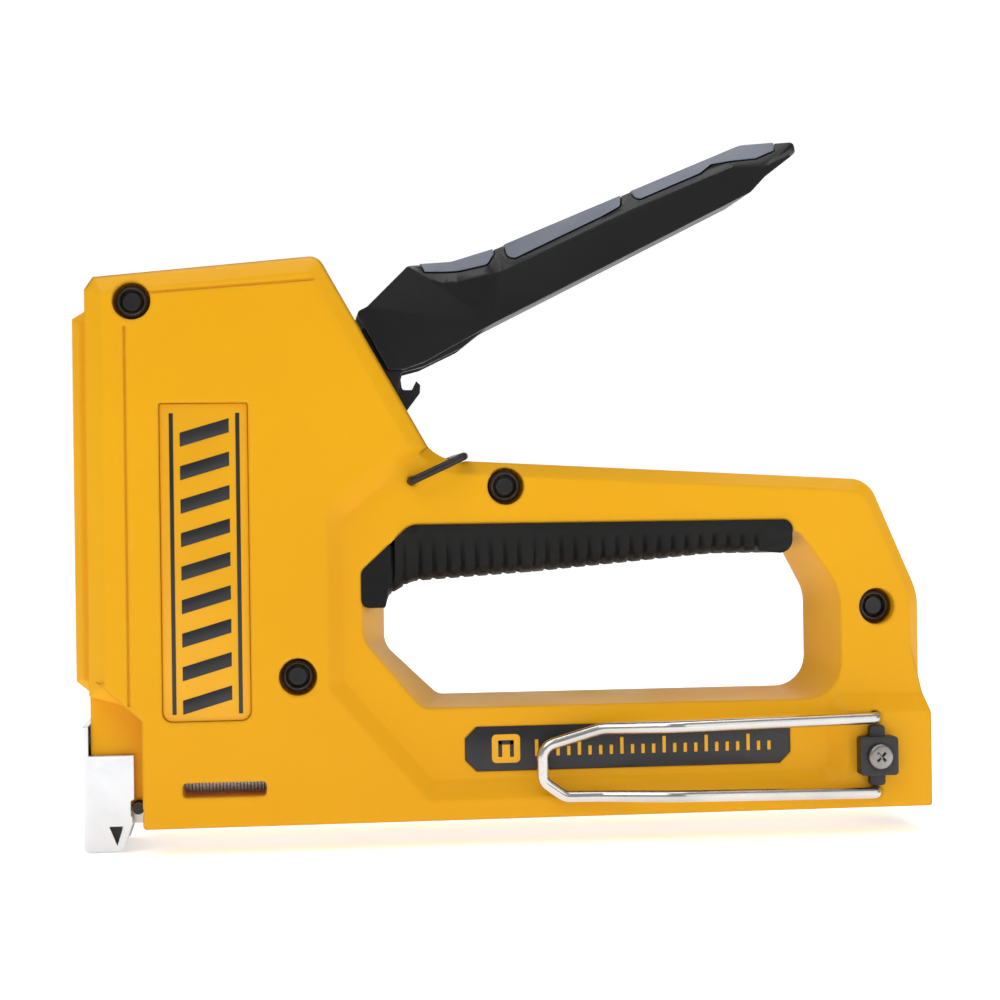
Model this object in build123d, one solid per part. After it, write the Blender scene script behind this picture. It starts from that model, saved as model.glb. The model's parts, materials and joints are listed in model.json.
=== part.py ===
from build123d import *
import os
from math import cos, hypot, radians, sin

os.makedirs("parts", exist_ok=True)

# Hand staple gun. The origin is the middle of the nose plate's lower edge, which is pressed on the work.
# +X runs to the rear, +Z up and +Y to the tool's right side. Z values are heights above the nose.
# All values are in millimetres.

# ---------------------------------------------------------------- body shells
body_length = 171.85        # front face of the head to the rear face of the heel
head_height = 114.25        # base underside to the head's top rear corner
head_length = 46.4          # front face to the head's top rear corner
head_half = 15.5            # half thickness of the head, base rim and heel
panel_half = 13.0           # half thickness of the handle panel around the hand opening
bevel_width = 3.4           # width of the slanted band between the head and the handle panel
wall = 2.4
base_z = 5.3                # base underside
front_x = 1.25
top_slope = 4.3             # how much lower the head's top is at the front
handle_front_z = 78.2       # handle top at the foot of the head
handle_rear_z = 73.1        # handle top at its rear
neck_foot = 69.55           # front face to the foot of the head's rear slope
heel_step = 1.0
panel_front = 50.8          # front face to the handle panel
handle_rim = 2.6            # bevel along the handle's top and rear edges
panel_base_z = 12.9
heel_top_z = 28.5
heel_length = 21.2
chin_z = 31.8               # lower front edge of the head

ridge_front_x = -1.8
ridge_half = 9.0
ridge_wall = 1.6
column_front_x = 1.0
column_half = 8.5
column_rear_x = 12.6
slit_x = 9.6                # slit behind the nose plate
slit_rear_x = 11.7

opening_top_z = 62.0
opening_base_z = 29.4
opening_front = 59.4        # front face to the opening, on the mid-plane
opening_rear = 22.7         # rear face back to the opening, on the mid-plane
opening_flare = 5.0         # how much wider the opening is at the panel face
opening_drop = 1.7          # how much lower it is there

groove_width = 0.5
groove_depth = 0.35

# ---------------------------------------------------------------- screws and pins
screw_pocket_r = 3.8
screw_head_r = 3.3
screw_head_sunk = 2.0
screw_head_height = 2.6
screw_shank_r = 1.9
screw_hole_r = 2.0
screw_reach = 8.0           # how far a screw runs past the mid-plane
boss_r = 4.4
pin_r = 3.0
running_gap = 0.05          # radial clearance of a pin or rod in its bore
part_gap = 0.3              # clearance between pieces that move past each other
rivet_r = 1.3

# ---------------------------------------------------------------- lever
pivot_x, pivot_z = 50.5, 81.9
lever_range = 31.0          # degrees from rest to fully squeezed
lever_length = 98.0         # pivot to the lever's tip, along X at rest
cover_half = 11.5
cover_top_half = 5.5        # half width of the cover's flat top, above its slanted shoulders
pad_proud = 0.25
pad_sunk = 0.9
pad_seam = 0.35             # gap round each pad
cheek_outer = 7.0
sheet = 1.6                 # folded steel sheet of the lever core
slot_half = 7.8             # half width of the body slot that the lever swings in
hub_r = 8.0
arm_length = 35.0
arm_half = 2.5
arm_tip_r = 2.9
arm_sleeve_r = 4.2
lock_hook_half = 1.5

# ---------------------------------------------------------------- lock bail
bail_x, bail_z = 66.0, 73.9
bail_length = 11.7
bail_rest = 24.6            # degrees above the handle line
bail_wire_r = 0.8
bail_half = 15.4
bail_hole_r = 0.9

# ---------------------------------------------------------------- striker and driver
blade_x0, blade_x1 = 0.9, 2.1
blade_half = 5.6
blade_top_z = 62.0
blade_rest_z = 0.4
striker_rear_x = 11.5
striker_half = 6.6
striker_z0, striker_z1 = 50.0, 56.0
striker_lip = 1.8
spring_x = 6.1
main_spring_r = 3.1
main_spring_wire_r = 0.65
main_spring_turns = 9
guide_half = striker_half + part_gap
guide_sheet = 1.2
guide_rear_x = 20.6
guide_z0 = 33.0
guide_head_gap = 14.3       # head top down to the guide frame's top
bumper_z0, bumper_z1 = 44.0, 49.6

# ---------------------------------------------------------------- magazine
channel_half = 6.6
channel_inner = 5.7
channel_top_z = 15.5
channel_sheet = 0.9
channel_front_x = 2.7
cap_length = 8.0
staple_half = 5.3
staple_wire = 0.6
staple_top_z = 14.2
staple_base_z = 6.2
strip_length = 58.0
rail_half = 4.3
rail_sheet = 0.8
rail_base_z = 5.6
rail_top_z = 13.2
rod_r = 1.0
rod_z = 9.6
follower_length = 10.0
pusher_turns = 22
window_x0, window_x1 = 19.5, 36.1
window_z0, window_z1 = 11.3, 14.3

# ---------------------------------------------------------------- nose
nose_sheet = 1.2
nose_half = 9.8
nose_top_z = 19.5
nose_lip_z = 25.4
nose_pin_r = 1.2
nose_pin_x, nose_pin_z = 10.4, 8.8

# ---------------------------------------------------------------- belt hook
hook_wire_r = 1.2
hook_gap = 0.5              # gap between the wire and the heel's face at the clamp
hook_spread = 7.7           # half distance between the wire's two ends
hook_hole_depth = 3.4
hook_bow = 22.6             # furthest distance of the wire's centre from the mid-plane
retainer_half = 3.95
retainer_arm_half = 1.6
retainer_reach = 6.2
retainer_top = 18.5
retainer_arm_top = 17.0
belt_screw_r = 2.6

# ---------------------------------------------------------------- trim
badge_x0, badge_x1 = 15.7, 33.3
badge_z0, badge_z1 = 26.4, 89.9
badge_depth = 1.0
badge_thick = 0.5
label_z0, label_z1 = 14.6, 23.8
label_front = 74.85         # front face to the label
label_rear = 29.3           # rear face back to the label
label_corner = 2.3
label_sunk = 0.2
label_thick = 0.4
grip_proud = 0.4

# ---------------------------------------------------------------- worked-out positions
rear_x = front_x + body_length
head_top_z = base_z + head_height
head_front_z = head_top_z - top_slope
head_rear_x = front_x + head_length
neck_foot_x = front_x + neck_foot
panel_front_x = front_x + panel_front
heel_x = rear_x - heel_length
upright_x = rear_x - heel_step
clasp_x, clasp_z = rear_x - 12.0, 16.2
arm_rest = radians(lever_range / 2)
tip_x, tip_z = pivot_x - arm_length * cos(arm_rest), pivot_z - arm_length * sin(arm_rest)
guide_z1 = head_top_z - guide_head_gap
spring_top_z = guide_z1 - guide_sheet - 2.0
cap_x0 = rear_x - cap_length
follower_x0 = channel_front_x + strip_length + 1.8
bar_x = bail_x + bail_length * cos(radians(bail_rest))
bar_z = bail_z + bail_length * sin(radians(bail_rest))
bore_r = pin_r + running_gap
head_screws = [(10.65, head_top_z - 9.25), (42.6, 34.9)]
panel_screws = [(85.2, 72.6), (rear_x - 10.5, 46.7)]


# ---------------------------------------------------------------- shape helpers
def rounded_corner(before, corner, after, radius):
    """Start, middle and end of the arc that rounds one corner of an outline."""
    arms = []
    for end in (before, after):
        dx, dz = end[0] - corner[0], end[1] - corner[1]
        size = hypot(dx, dz)
        arms.append((dx / size, dz / size))
    (ax, az), (bx, bz) = arms
    half_cos = (max(0.0, (1 + ax * bx + az * bz) / 2)) ** 0.5
    half_sin = (1 - half_cos**2) ** 0.5
    reach = radius * half_cos / half_sin
    mx, mz = ax + bx, az + bz
    size = hypot(mx, mz)
    centre = radius / half_sin
    middle = (corner[0] + mx / size * (centre - radius), corner[1] + mz / size * (centre - radius))
    start = (corner[0] + ax * reach, corner[1] + az * reach)
    end = (corner[0] + bx * reach, corner[1] + bz * reach)
    return start, middle, end


def signed_area(points):
    """Twice the area of an outline: positive when it runs from +X towards +Z."""
    return sum(a[0] * b[1] - b[0] * a[1] for a, b in zip(points, points[1:] + points[:1]))


def outline(points, y=0.0):
    """Closed face in the X-Z plane through (x, z) points. A third value rounds that corner."""
    if signed_area(points) > 0:
        points = points[::-1]
    edges, stops = [], []
    count = len(points)
    for i, point in enumerate(points):
        if len(point) == 2:
            stops.append((point, point))
            continue
        start, middle, end = rounded_corner(points[i - 1], point, points[(i + 1) % count], point[2])
        edges.append(ThreePointArc(*[(x, y, z) for x, z in (start, middle, end)]))
        stops.append((start, end))
    for (_, leave), (arrive, _) in zip(stops, stops[1:] + stops[:1]):
        if hypot(leave[0] - arrive[0], leave[1] - arrive[1]) > 1e-6:
            edges.append(Line((leave[0], y, leave[1]), (arrive[0], y, arrive[1])))
    return Face(Wire(edges))


def inset(points, distances):
    """The same outline with each edge moved inward by its own distance."""
    count = len(points)
    inward = 1 if signed_area(points) > 0 else -1
    lines = []
    for i, start in enumerate(points):
        end = points[(i + 1) % count]
        size = hypot(end[0] - start[0], end[1] - start[1])
        ux, uz = (end[0] - start[0]) / size, (end[1] - start[1]) / size
        shift = inward * distances[i]
        lines.append((start[0] - uz * shift, start[1] + ux * shift, ux, uz, distances[i]))
    moved = []
    for i, point in enumerate(points):
        ax, az, aux, auz, before = lines[i - 1]
        bx, bz, bux, buz, after = lines[i]
        cross = aux * buz - auz * bux
        along = ((bx - ax) * buz - (bz - az) * bux) / cross
        corner = (ax + aux * along, az + auz * along)
        if len(point) == 3:
            convex = cross * inward > 0
            change = (before + after) / 2
            corner += (max(point[2] - change, 0.2) if convex else point[2] + change,)
        moved.append(corner)
    return moved


def plate(points, y0, y1):
    """Flat plate with that outline, from depth y0 to y1."""
    return extrude(outline(points, y0), amount=y1 - y0, dir=(0, 1, 0))


def plate_pair(points, inner, outer):
    """Two equal plates, one on each side of the mid-plane."""
    return plate(points, inner, outer) + plate(points, -outer, -inner)


def box(x0, x1, y0, y1, z0, z1):
    """Block between two corners."""
    middle = ((x0 + x1) / 2, (y0 + y1) / 2, (z0 + z1) / 2)
    return Pos(*middle) * Box(x1 - x0, y1 - y0, z1 - z0)


def rod_y(x, z, radius, y0, y1):
    """Round bar along Y."""
    return Pos(x, (y0 + y1) / 2, z) * Rot(90, 0, 0) * Cylinder(radius, y1 - y0)


def rod_x(y, z, radius, x0, x1):
    """Round bar along X."""
    return Pos((x0 + x1) / 2, y, z) * Rot(0, 90, 0) * Cylinder(radius, x1 - x0)


def wire_part(path, radius):
    """Round wire along a path, with its section at the path's start."""
    section = Plane(origin=path @ 0, z_dir=path % 0) * Circle(radius)
    return sweep(section, path=path)


def coil(mean_r, wire_r, turns, height):
    """Open coil spring that stands on its end at the origin, along +Z."""
    path = Helix(pitch=(height - 2 * wire_r) / turns, height=height - 2 * wire_r, radius=mean_r)
    return Pos(0, 0, wire_r) * wire_part(path, wire_r)


def slope_x(z):
    """X of the head's rear slope at a height."""
    share = (z - handle_front_z) / (head_top_z - handle_front_z)
    return neck_foot_x + share * (head_rear_x - neck_foot_x)


# ---------------------------------------------------------------- body shells
def head_edge():
    """Outline points of the head, from its top rear corner round to the slit behind the nose."""
    return [
        (head_rear_x, head_top_z, 3.0),
        (front_x + 1.75, head_front_z),
        (front_x, head_front_z - 2.5),
        (front_x, chin_z),
        (slit_x - 1.0, chin_z - 2.2),
        (slit_rear_x, chin_z - 5.0),
    ]


def heel_edge():
    """Outline points of the base and heel, from the slit round to the rear face."""
    return [
        (slit_rear_x, base_z, 0.8),
        (rear_x, base_z, 0.6),
        (rear_x, base_z + 19.1),
    ]


def body_plate():
    """Half of the handle, base and head at the handle panel's thickness."""
    handle = [
        (upright_x, heel_top_z),
        (upright_x, 49.2, 12.0),
        (rear_x - 11.3, handle_rear_z, 6.0),
        (neck_foot_x, handle_front_z, 9.0),
    ]
    body = plate(heel_edge() + handle + head_edge(), 0, panel_half)
    top_edges = [e for e in body.edges() if on_handle_rim(e.center())]
    return chamfer(top_edges, handle_rim)


def on_handle_rim(point):
    """True for the panel-face edges between the head's foot and the heel."""
    at_face = abs(point.Y - panel_half) < 0.01
    past_foot = point.X > bail_x + 14 and point.Z > opening_top_z + 6
    at_rear = point.X > rear_x - 13 and point.Z > heel_top_z + 2
    return at_face and (past_foot or at_rear)


def raised_plate():
    """The head, base rim and heel, which stand proud of the handle panel behind a slanted band."""
    panel_edge = [
        (upright_x, heel_top_z),
        (heel_x, heel_top_z, 4.0),
        (heel_x, panel_base_z, 2.5),
        (panel_front_x + 17.8, panel_base_z),
        (panel_front_x, 33.5),
        (panel_front_x, 66.7, 2.0),
        (slope_x(80.6), 80.6),
    ]
    points = heel_edge() + panel_edge + head_edge()
    insets = [bevel_width if carries_band(a, b) else 0.0 for a, b in zip(points, points[1:] + points[:1])]
    return loft([outline(points, panel_half), outline(inset(points, insets), head_half)], ruled=True)


def carries_band(start, end):
    """True for the edges of the raised outline that slope down to the surface around them."""
    base = start[1] < base_z + 1
    rear = start[0] > rear_x - 0.2
    slit = start[0] < slit_rear_x + 0.2 and start[1] < chin_z - 1 and end[1] < chin_z - 1
    return not (base or rear or slit)


def ridge():
    """Half of the rib down the head's front, which houses the driver blade."""
    points = [
        (front_x + 3, chin_z),
        (front_x, chin_z),
        (ridge_front_x, chin_z + 2.5),
        (ridge_front_x, head_front_z - 7.9),
        (front_x, head_front_z - 6.0),
        (front_x + 3, head_front_z - 6.0),
    ]
    rib = plate(points, 0, ridge_half)
    front = [e for e in rib.edges() if e.center().X < front_x - 0.2 and e.center().Y > ridge_half - 0.01]
    return chamfer(front, 1.6)


def nose_column():
    """Half of the narrow column that the nose plate wraps."""
    points = [(column_front_x, 8.0), (column_rear_x, 8.0), (column_rear_x, chin_z + 1), (column_front_x, chin_z + 1)]
    return plate(points, 0, column_half)


def opening(y_face):
    """Half of the hand opening: narrow on the mid-plane and flared to the panel face."""
    front, rear = front_x + opening_front, rear_x - opening_rear
    middle = [
        (front + 6.5, opening_top_z),
        (front, 54.5),
        (front, 40.0, 5.0),
        (front + 11.0, opening_base_z, 3.0),
        (rear, opening_base_z, 6.5),
        (rear, 49.5, 9.0),
        (rear - 6.5, opening_top_z, 3.0),
    ]
    flare, drop = opening_flare, opening_drop
    face = [
        (front - flare + 8.0, opening_top_z + 1),
        (front - flare, 54.7),
        (front - flare, 42.0, 6.0),
        (front + 6.8, opening_base_z - drop, 3.5),
        (rear + flare - 0.6, opening_base_z - drop, 7.5),
        (rear + flare - 0.6, 50.5, 12.0),
        (rear - 4.4, opening_top_z + 1, 4.0),
    ]
    return loft([outline(middle, 0), outline(face, y_face)], ruled=True)


def grip_outline():
    """Side view of the finger grip along the top of the hand opening."""
    rear = rear_x - opening_rear
    return [
        (55.5, 55.8, 2.0),
        (65.5, 65.0, 4.0),
        (rear - 5.6, 65.0, 2.0),
        (rear - 5.6, 58.1, 2.8),
        (rear - 22.0, 58.1, 40.0),
        (90.9, 54.9, 60.0),
        (66.0, 53.4, 5.0),
        (61.4, 50.8, 1.5),
        (60.3, 48.3, 0.5),
        (55.5, 48.3, 1.7),
    ]


def slope_face_box():
    """Clear space behind the head's rear slope, used to open the lever slot."""
    return [
        (pivot_x, pivot_z - hub_r - 0.6),
        (pivot_x + 7.5, pivot_z - 5.7),
        (pivot_x + 20.0, pivot_z + 1.9),
        (pivot_x + 26.0, pivot_z + 14.0),
        (pivot_x + 10.0, pivot_z + 26.6),
        (pivot_x - 1.5, pivot_z + 26.6),
        (pivot_x - hub_r, pivot_z + 2.0),
    ]


def inner_space():
    """Half of the space inside the body: mechanism, lever slot, handle and magazine."""
    depth = head_half - wall
    head = [
        (front_x + wall, guide_z0),
        (46.0, guide_z0),
        (46.0, 70.0),
        (58.0, 80.0),
        (slope_x(84.5) - 3.4, 84.5),
        (slope_x(106.0) - 3.0, 106.0),
        (head_rear_x - 1.6, head_top_z - 3.4),
        (front_x + wall, head_front_z - 3.3),
    ]
    handle = [
        (92.0, 67.4),
        (rear_x - 18.0, 67.4),
        (rear_x - 16.0, 60.0),
        (rear_x - 16.0, 54.0),
        (rear_x - 5.5, 53.0),
        (rear_x - 14.5, handle_rear_z - 3.6),
        (92.0, handle_front_z - 4.4),
    ]
    space = plate(head, 0, depth) + plate(handle, 0, panel_half - wall - 1.6)
    space += plate(slope_face_box(), 0, slot_half) + rod_y(pivot_x, pivot_z, hub_r + 0.6, 0, slot_half)
    space += box(pivot_x + 7.5, pivot_x + 20.3, 0, lock_hook_half + 1.0, 77.5, 90.0)
    space += box(ridge_front_x + ridge_wall, front_x + wall + 0.1, 0, guide_half, guide_z0, guide_z1)
    space += box(blade_x1 + part_gap, rear_x + 1, 0, channel_half, base_z - 3, channel_top_z)
    return space


def screw_bosses():
    """Half of the screw posts, the lever pin's boss and the ribs that hold the guide frame."""
    posts = []
    for x, z in head_screws:
        posts.append(rod_y(x, z, boss_r, 0, head_half - wall + 0.5))
    posts.append(rod_y(pivot_x, pivot_z, 6.5, slot_half - 0.2, head_half - wall + 0.5))
    for z in (guide_z0 + 6, guide_z0 + 36, guide_z1 - 7):
        y0 = guide_half + guide_sheet
        posts.append(box(front_x + wall - 0.2, guide_rear_x, y0, head_half - wall + 0.5, z, z + 1.6))
    return posts


def shell(side):
    """One body shell. Both halves are built on +Y, and the left one is then mirrored."""
    left = side == "left"
    body = body_plate() + raised_plate() + ridge() + nose_column() - inner_space()
    for post in screw_bosses():
        body += post
    body -= box(blade_x0 - 1.1, blade_x1 + part_gap, 0, blade_half + part_gap, 0, guide_z0)
    body -= opening(panel_half + 0.01)
    body -= plate(grip_outline(), 0, panel_half + 1)
    for x, z, face in [(*s, head_half) for s in head_screws] + [(*s, panel_half) for s in panel_screws]:
        body -= rod_y(x, z, screw_hole_r, 0, face - wall + 0.4 if not left else face)
        if left:
            seat = face - screw_head_sunk - screw_head_height
            body -= rod_y(x, z, screw_pocket_r, seat, head_half + 1)
    body -= rod_y(pivot_x, pivot_z, pin_r, 0, head_half - wall)
    body -= rod_y(bail_x, bail_z, bail_hole_r, bail_half - 6.0, head_half + 1)
    body -= rod_y(bar_x, bar_z, bail_wire_r + 0.35, 0, head_half + 1)
    body -= plate(window_outline(), channel_half - 0.1, head_half + 1)
    body -= rod_y(nose_pin_x, nose_pin_z, nose_pin_r + 0.3, channel_half + 0.4, head_half + 1)
    body -= box(slit_x, slit_rear_x, column_half, head_half + 1, 0, chin_z - 6.4)
    body -= plate(badge_outline(0.0), head_half - badge_depth, head_half + 1)
    body -= plate(label_outline(0.0), panel_half - label_sunk, panel_half + 1)
    for cut in face_grooves():
        body -= cut
    if left:
        body -= rod_y(clasp_x, clasp_z, 1.75, channel_half - 0.1, head_half + 1)
        for z in (clasp_z - hook_spread, clasp_z + hook_spread):
            body -= rod_y(clasp_x, z, hook_wire_r + 0.15, head_half - hook_hole_depth, head_half + 1)
        body = mirror(body, Plane.XZ)
    return body


def face_grooves():
    """Fine step lines on the head's face, along its front and top edges."""
    x = front_x + 7.7
    y0 = head_half - groove_depth
    front = box(x, x + groove_width, y0, head_half + 1, chin_z - 2.0, head_front_z - 10.0)
    start, end = (14.0, head_front_z - 3.1), (head_rear_x + 1.5, head_top_z - 4.6)
    top = plate([start, end, (end[0], end[1] - groove_width), (start[0], start[1] - groove_width)], y0, head_half + 1)
    return front, top


def window_outline():
    """Slot through which the staples show."""
    r = 0.9
    low = [(window_x0, window_z0, r), (window_x1, window_z0, r)]
    return low + [(window_x1, window_z1, r), (window_x0, window_z1, r)]


def badge_outline(gap):
    """Side badge, with its lower corners rounded."""
    return [
        (badge_x0 + gap, badge_z1 - gap, 0.5),
        (badge_x1 - gap, badge_z1 - gap, 0.5),
        (badge_x1 - gap, badge_z0 + gap, 2.0),
        (badge_x0 + gap, badge_z0 + gap, 2.0),
    ]


def label_outline(gap):
    """Small label with three cut corners."""
    x0, x1 = front_x + label_front + gap, rear_x - label_rear - gap
    z0, z1 = label_z0 + gap, label_z1 - gap
    cut = label_corner
    front = [(x0 + cut, z0), (x0, z0 + cut), (x0, z1 - cut), (x0 + cut, z1)]
    return front + [(x1, z1), (x1, z0 + cut), (x1 - cut, z0)]


def finger_grip():
    """Rubber grip that lines the top of the hand opening across both shells."""
    half = panel_half + grip_proud
    return plate(grip_outline(), -half, half)


def badge(side):
    """Flat badge that fills the recess in the head's face."""
    y0 = head_half - badge_depth
    return plate_side(badge_outline(0.1), y0, y0 + badge_thick, side)


def label(side):
    """Thin label below the hand opening."""
    y0 = panel_half - label_sunk
    return plate_side(label_outline(0.1), y0, y0 + label_thick, side)


def plate_side(points, y0, y1, side):
    """Plate on the right (side 1) or on the left (side -1)."""
    return plate(points, y0, y1) if side > 0 else plate(points, -y1, -y0)


# ---------------------------------------------------------------- nose
def nose_plate():
    """Bright steel sheet folded round the nose column: a front web and two cheeks."""
    web_x = nose_sheet / 2
    cheek = [
        (-web_x, 0.0, 0.9),
        (7.2, 0.0),
        (9.2, 5.7),
        (9.2, 7.0),
        (8.9, 7.4),
        (8.9, 10.2),
        (slit_x, 10.6),
        (slit_x, nose_top_z),
        (-web_x, nose_top_z),
    ]
    web = [(-web_x, 0.0, 0.9), (web_x, 0.0), (web_x, nose_lip_z), (-web_x, nose_lip_z)]
    folded = plate_pair(cheek, nose_half - nose_sheet, nose_half) + plate(web, -nose_half, nose_half)
    window = [(4.6, 5.2), (7.3, 5.2), (6.1, 1.4)]
    upright = [e for e in folded.edges().filter_by(Axis.Z) if e.center().X < -web_x + 0.01 and abs(e.center().Y) > 9]
    folded = fillet(upright, nose_sheet * 0.8)
    return folded - plate(window, -nose_half - 1, nose_half + 1)


def nose_guide():
    """Hard block behind the driver blade, which guides the staple at the nose."""
    x0 = blade_x1 + part_gap
    half = nose_half - nose_sheet - 0.1
    return box(x0, 7.0, -half, half, 0.4, rail_base_z - part_gap)


def nose_pins():
    """Two short pins that hold the nose plate to the shells."""
    inner, outer = channel_half + 0.5, nose_half + 0.7
    return [rod_y(nose_pin_x, nose_pin_z, nose_pin_r, *span) for span in ((inner, outer), (-outer, -inner))]


# ---------------------------------------------------------------- fasteners
def star_recess(x, z, y0, y1):
    """Six-lobe driver recess."""
    star = rod_y(x, z, 1.15, y0, y1)
    for i in range(6):
        a = radians(60 * i)
        star += rod_y(x + 1.15 * cos(a), z + 1.15 * sin(a), 0.42, y0, y1)
    return star


def shell_screw(x, z, face):
    """Shell screw with its head sunk in the left shell's pocket."""
    top = -(face - screw_head_sunk)
    head = rod_y(x, z, screw_head_r, top, top + screw_head_height)
    rim = head.edges().filter_by(GeomType.CIRCLE).group_by(Axis.Y)[0]
    head = chamfer(rim, 0.5)
    shank = rod_y(x, z, screw_shank_r, top + screw_head_height, screw_reach)
    return head + shank - star_recess(x, z, top - 1, top + 1.5)


def shell_screws():
    """The four screws that hold the shells together."""
    spots = [(*s, head_half) for s in head_screws] + [(*s, panel_half) for s in panel_screws]
    return [shell_screw(*spot) for spot in spots]


def lever_pin():
    """Pin that the lever turns on."""
    reach = head_half - wall
    return rod_y(pivot_x, pivot_z, pin_r, -reach, reach)


# ---------------------------------------------------------------- lever
def cover_outline():
    """Side view of the lever's moulded cover at rest. The tip moves with lever_length."""
    tip = pivot_x + lever_length
    return [
        (55.3, 108.3, 0.8),
        (57.5, 109.4, 0.8),
        (66.2, 118.4, 1.5),
        (75.2, 119.0, 8.0),
        (84.6, 121.9, 12.0),
        (tip - 35.0, 134.0, 30.0),
        (tip - 12.0, 143.6, 6.0),
        (tip - 0.4, 144.6, 1.0),
        (tip, 142.4, 0.8),
        (tip - 8.2, 136.2, 3.0),
        (tip - 11.2, 133.0, 2.0),
        (tip - 18.8, 129.2, 6.0),
        (83.2, 105.9, 10.0),
        (69.4, 98.3, 6.0),
        (65.0, 96.7, 2.0),
        (61.7, 96.5, 0.8),
    ]


def cover_side_outline():
    """Outline of the cover's side faces. Its upper edge is the crease under the slanted shoulders."""
    tip = pivot_x + lever_length
    crease = [
        (65.8, 117.6, 0.6),
        (72.8, 113.6, 9.0),
        (84.6, 116.4, 14.0),
        (tip - 36.0, 129.5, 30.0),
        (tip - 15.5, 138.0, 3.0),
        (tip - 8.0, 138.4, 3.0),
        (tip - 0.3, 142.2, 0.3),
    ]
    whole = cover_outline()
    return whole[:2] + crease + whole[9:]


def cover_body():
    """The cover's outer shape, solid: a middle slab and a slanted shoulder on each side."""
    middle = plate(cover_outline(), -cover_top_half, cover_top_half)
    shoulder = loft([outline(cover_outline(), cover_top_half), outline(cover_side_outline(), cover_half)], ruled=True)
    return middle + shoulder + mirror(shoulder, Plane.XZ)


def core_outline():
    """Side view of the folded steel core: from the pivot up the neck and along inside the cover."""
    tip = pivot_x + lever_length
    return [
        (pivot_x - 6.6, pivot_z + 4.5),
        (56.8, 105.5, 2.0),
        (66.8, 115.4, 3.0),
        (75.0, 115.8, 6.0),
        (85.0, 118.6, 12.0),
        (tip - 33.5, 130.8, 30.0),
        (tip - 16.0, 138.6),
        (tip - 14.0, 135.6),
        (tip - 18.8, 130.6),
        (83.8, 106.6),
        (77.1, 101.3, 4.0),
        (69.0, 97.4),
        (64.4, 96.2, 1.0),
        (64.0, 92.6, 1.0),
        (pivot_x + 7.7, pivot_z - 2.2),
    ]


def lever_cover():
    """Moulded cover: a channel, open below, over the steel core, with shallow seats for the pads."""
    cover = cover_body()
    floor = Pos(0, 0, -pad_sunk) * cover
    for points in pad_outlines():
        seat = plate(inset(points, [-pad_seam] * len(points)), -cover_half - 1, cover_half + 1)
        cover -= seat - floor
    return cover - plate(core_outline(), -cheek_outer, cheek_outer)


def lever_core():
    """Folded steel core: two cheeks joined by a web along the top of the handle part."""
    cheeks = plate_pair(core_outline(), cheek_outer - sheet, cheek_outer)
    cheeks += rod_y(pivot_x, pivot_z, hub_r, cheek_outer - sheet, cheek_outer)
    cheeks += rod_y(pivot_x, pivot_z, hub_r, -cheek_outer, sheet - cheek_outer)
    tip = pivot_x + lever_length
    web = [
        (66.8, 115.4),
        (75.0, 115.8, 6.0),
        (85.0, 118.6, 12.0),
        (tip - 33.5, 130.8, 30.0),
        (tip - 16.0, 138.6),
        (tip - 15.4, 137.2),
        (tip - 32.9, 129.3, 30.0),
        (85.5, 117.0, 12.0),
        (75.3, 114.2, 6.0),
        (67.2, 113.8),
    ]
    core = cheeks + plate(web, sheet - cheek_outer, cheek_outer - sheet)
    core -= rod_y(pivot_x, pivot_z, bore_r, -cheek_outer - 1, cheek_outer + 1)
    for x, z in lever_rivet_spots():
        core -= rod_y(x, z, rivet_r, -cheek_outer - 1, cheek_outer + 1)
    return core


def lever_rivet_spots():
    """Rivets through the cheeks: one in the lift arm's lobe and two in the lock hook."""
    return [(pivot_x + 4.4, pivot_z + 9.0), (pivot_x + 11.2, pivot_z + 10.6), (pivot_x + 12.4, pivot_z + 17.0)]


def lever_rivets():
    """Cross rivets of the lever."""
    return [rod_y(x, z, rivet_r, -cheek_outer, cheek_outer) for x, z in lever_rivet_spots()]


def lift_arm():
    """Hardened arm that lifts the striker, with a sleeve round the lever pin."""
    dx, dz = cos(arm_rest), sin(arm_rest)
    nx, nz = -dz, dx
    points = []
    for along, across in ((0.0, 2.1), (10.0, 2.3), (arm_length, 6.6), (arm_length, -6.6), (12.0, -2.9), (0.0, -2.1)):
        points.append((tip_x + along * dx + across * nx, tip_z + along * dz + across * nz))
    rivet_x, rivet_z = lever_rivet_spots()[0]
    arm = plate(points, -arm_half, arm_half) + rod_y(pivot_x, pivot_z, 6.8, -arm_half, arm_half)
    arm += rod_y(tip_x, tip_z, arm_tip_r, -arm_half, arm_half)
    lobe = [(pivot_x - 3, pivot_z), (rivet_x - 2.6, rivet_z), (rivet_x + 2.6, rivet_z), (pivot_x + 6, pivot_z)]
    arm += plate(lobe, -arm_half, arm_half)
    arm += rod_y(rivet_x, rivet_z, 2.8, -arm_half, arm_half)
    arm += rod_y(pivot_x, pivot_z, arm_sleeve_r, sheet - cheek_outer, cheek_outer - sheet)
    arm -= rod_y(rivet_x, rivet_z, rivet_r, -arm_half - 1, arm_half + 1)
    return arm - rod_y(pivot_x, pivot_z, bore_r, -cheek_outer, cheek_outer)


def lock_hook():
    """Plate between the cheeks, with the notch that the bail drops into."""
    x, z = pivot_x, pivot_z
    points = [
        (x + 8.4, z + 6.5),
        (x + 8.8, z + 19.0),
        (x + 15.6, z + 20.0),
        (x + 14.6, z + 14.7),
        (x + 14.2, z + 13.2),
        (x + 14.5, z + 11.1, 0.6),
        (x + 16.6, z + 11.1, 0.5),
        (x + 17.5, z + 12.9),
        (x + 18.3, z + 12.1),
        (x + 18.2, z + 10.4),
        (x + 15.4, z + 6.7),
        (x + 11.5, z + 4.5),
    ]
    hook = plate(points, -lock_hook_half, lock_hook_half)
    for rivet_x, rivet_z in lever_rivet_spots()[1:]:
        hook -= rod_y(rivet_x, rivet_z, rivet_r, -2, 2)
    return hook


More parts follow.
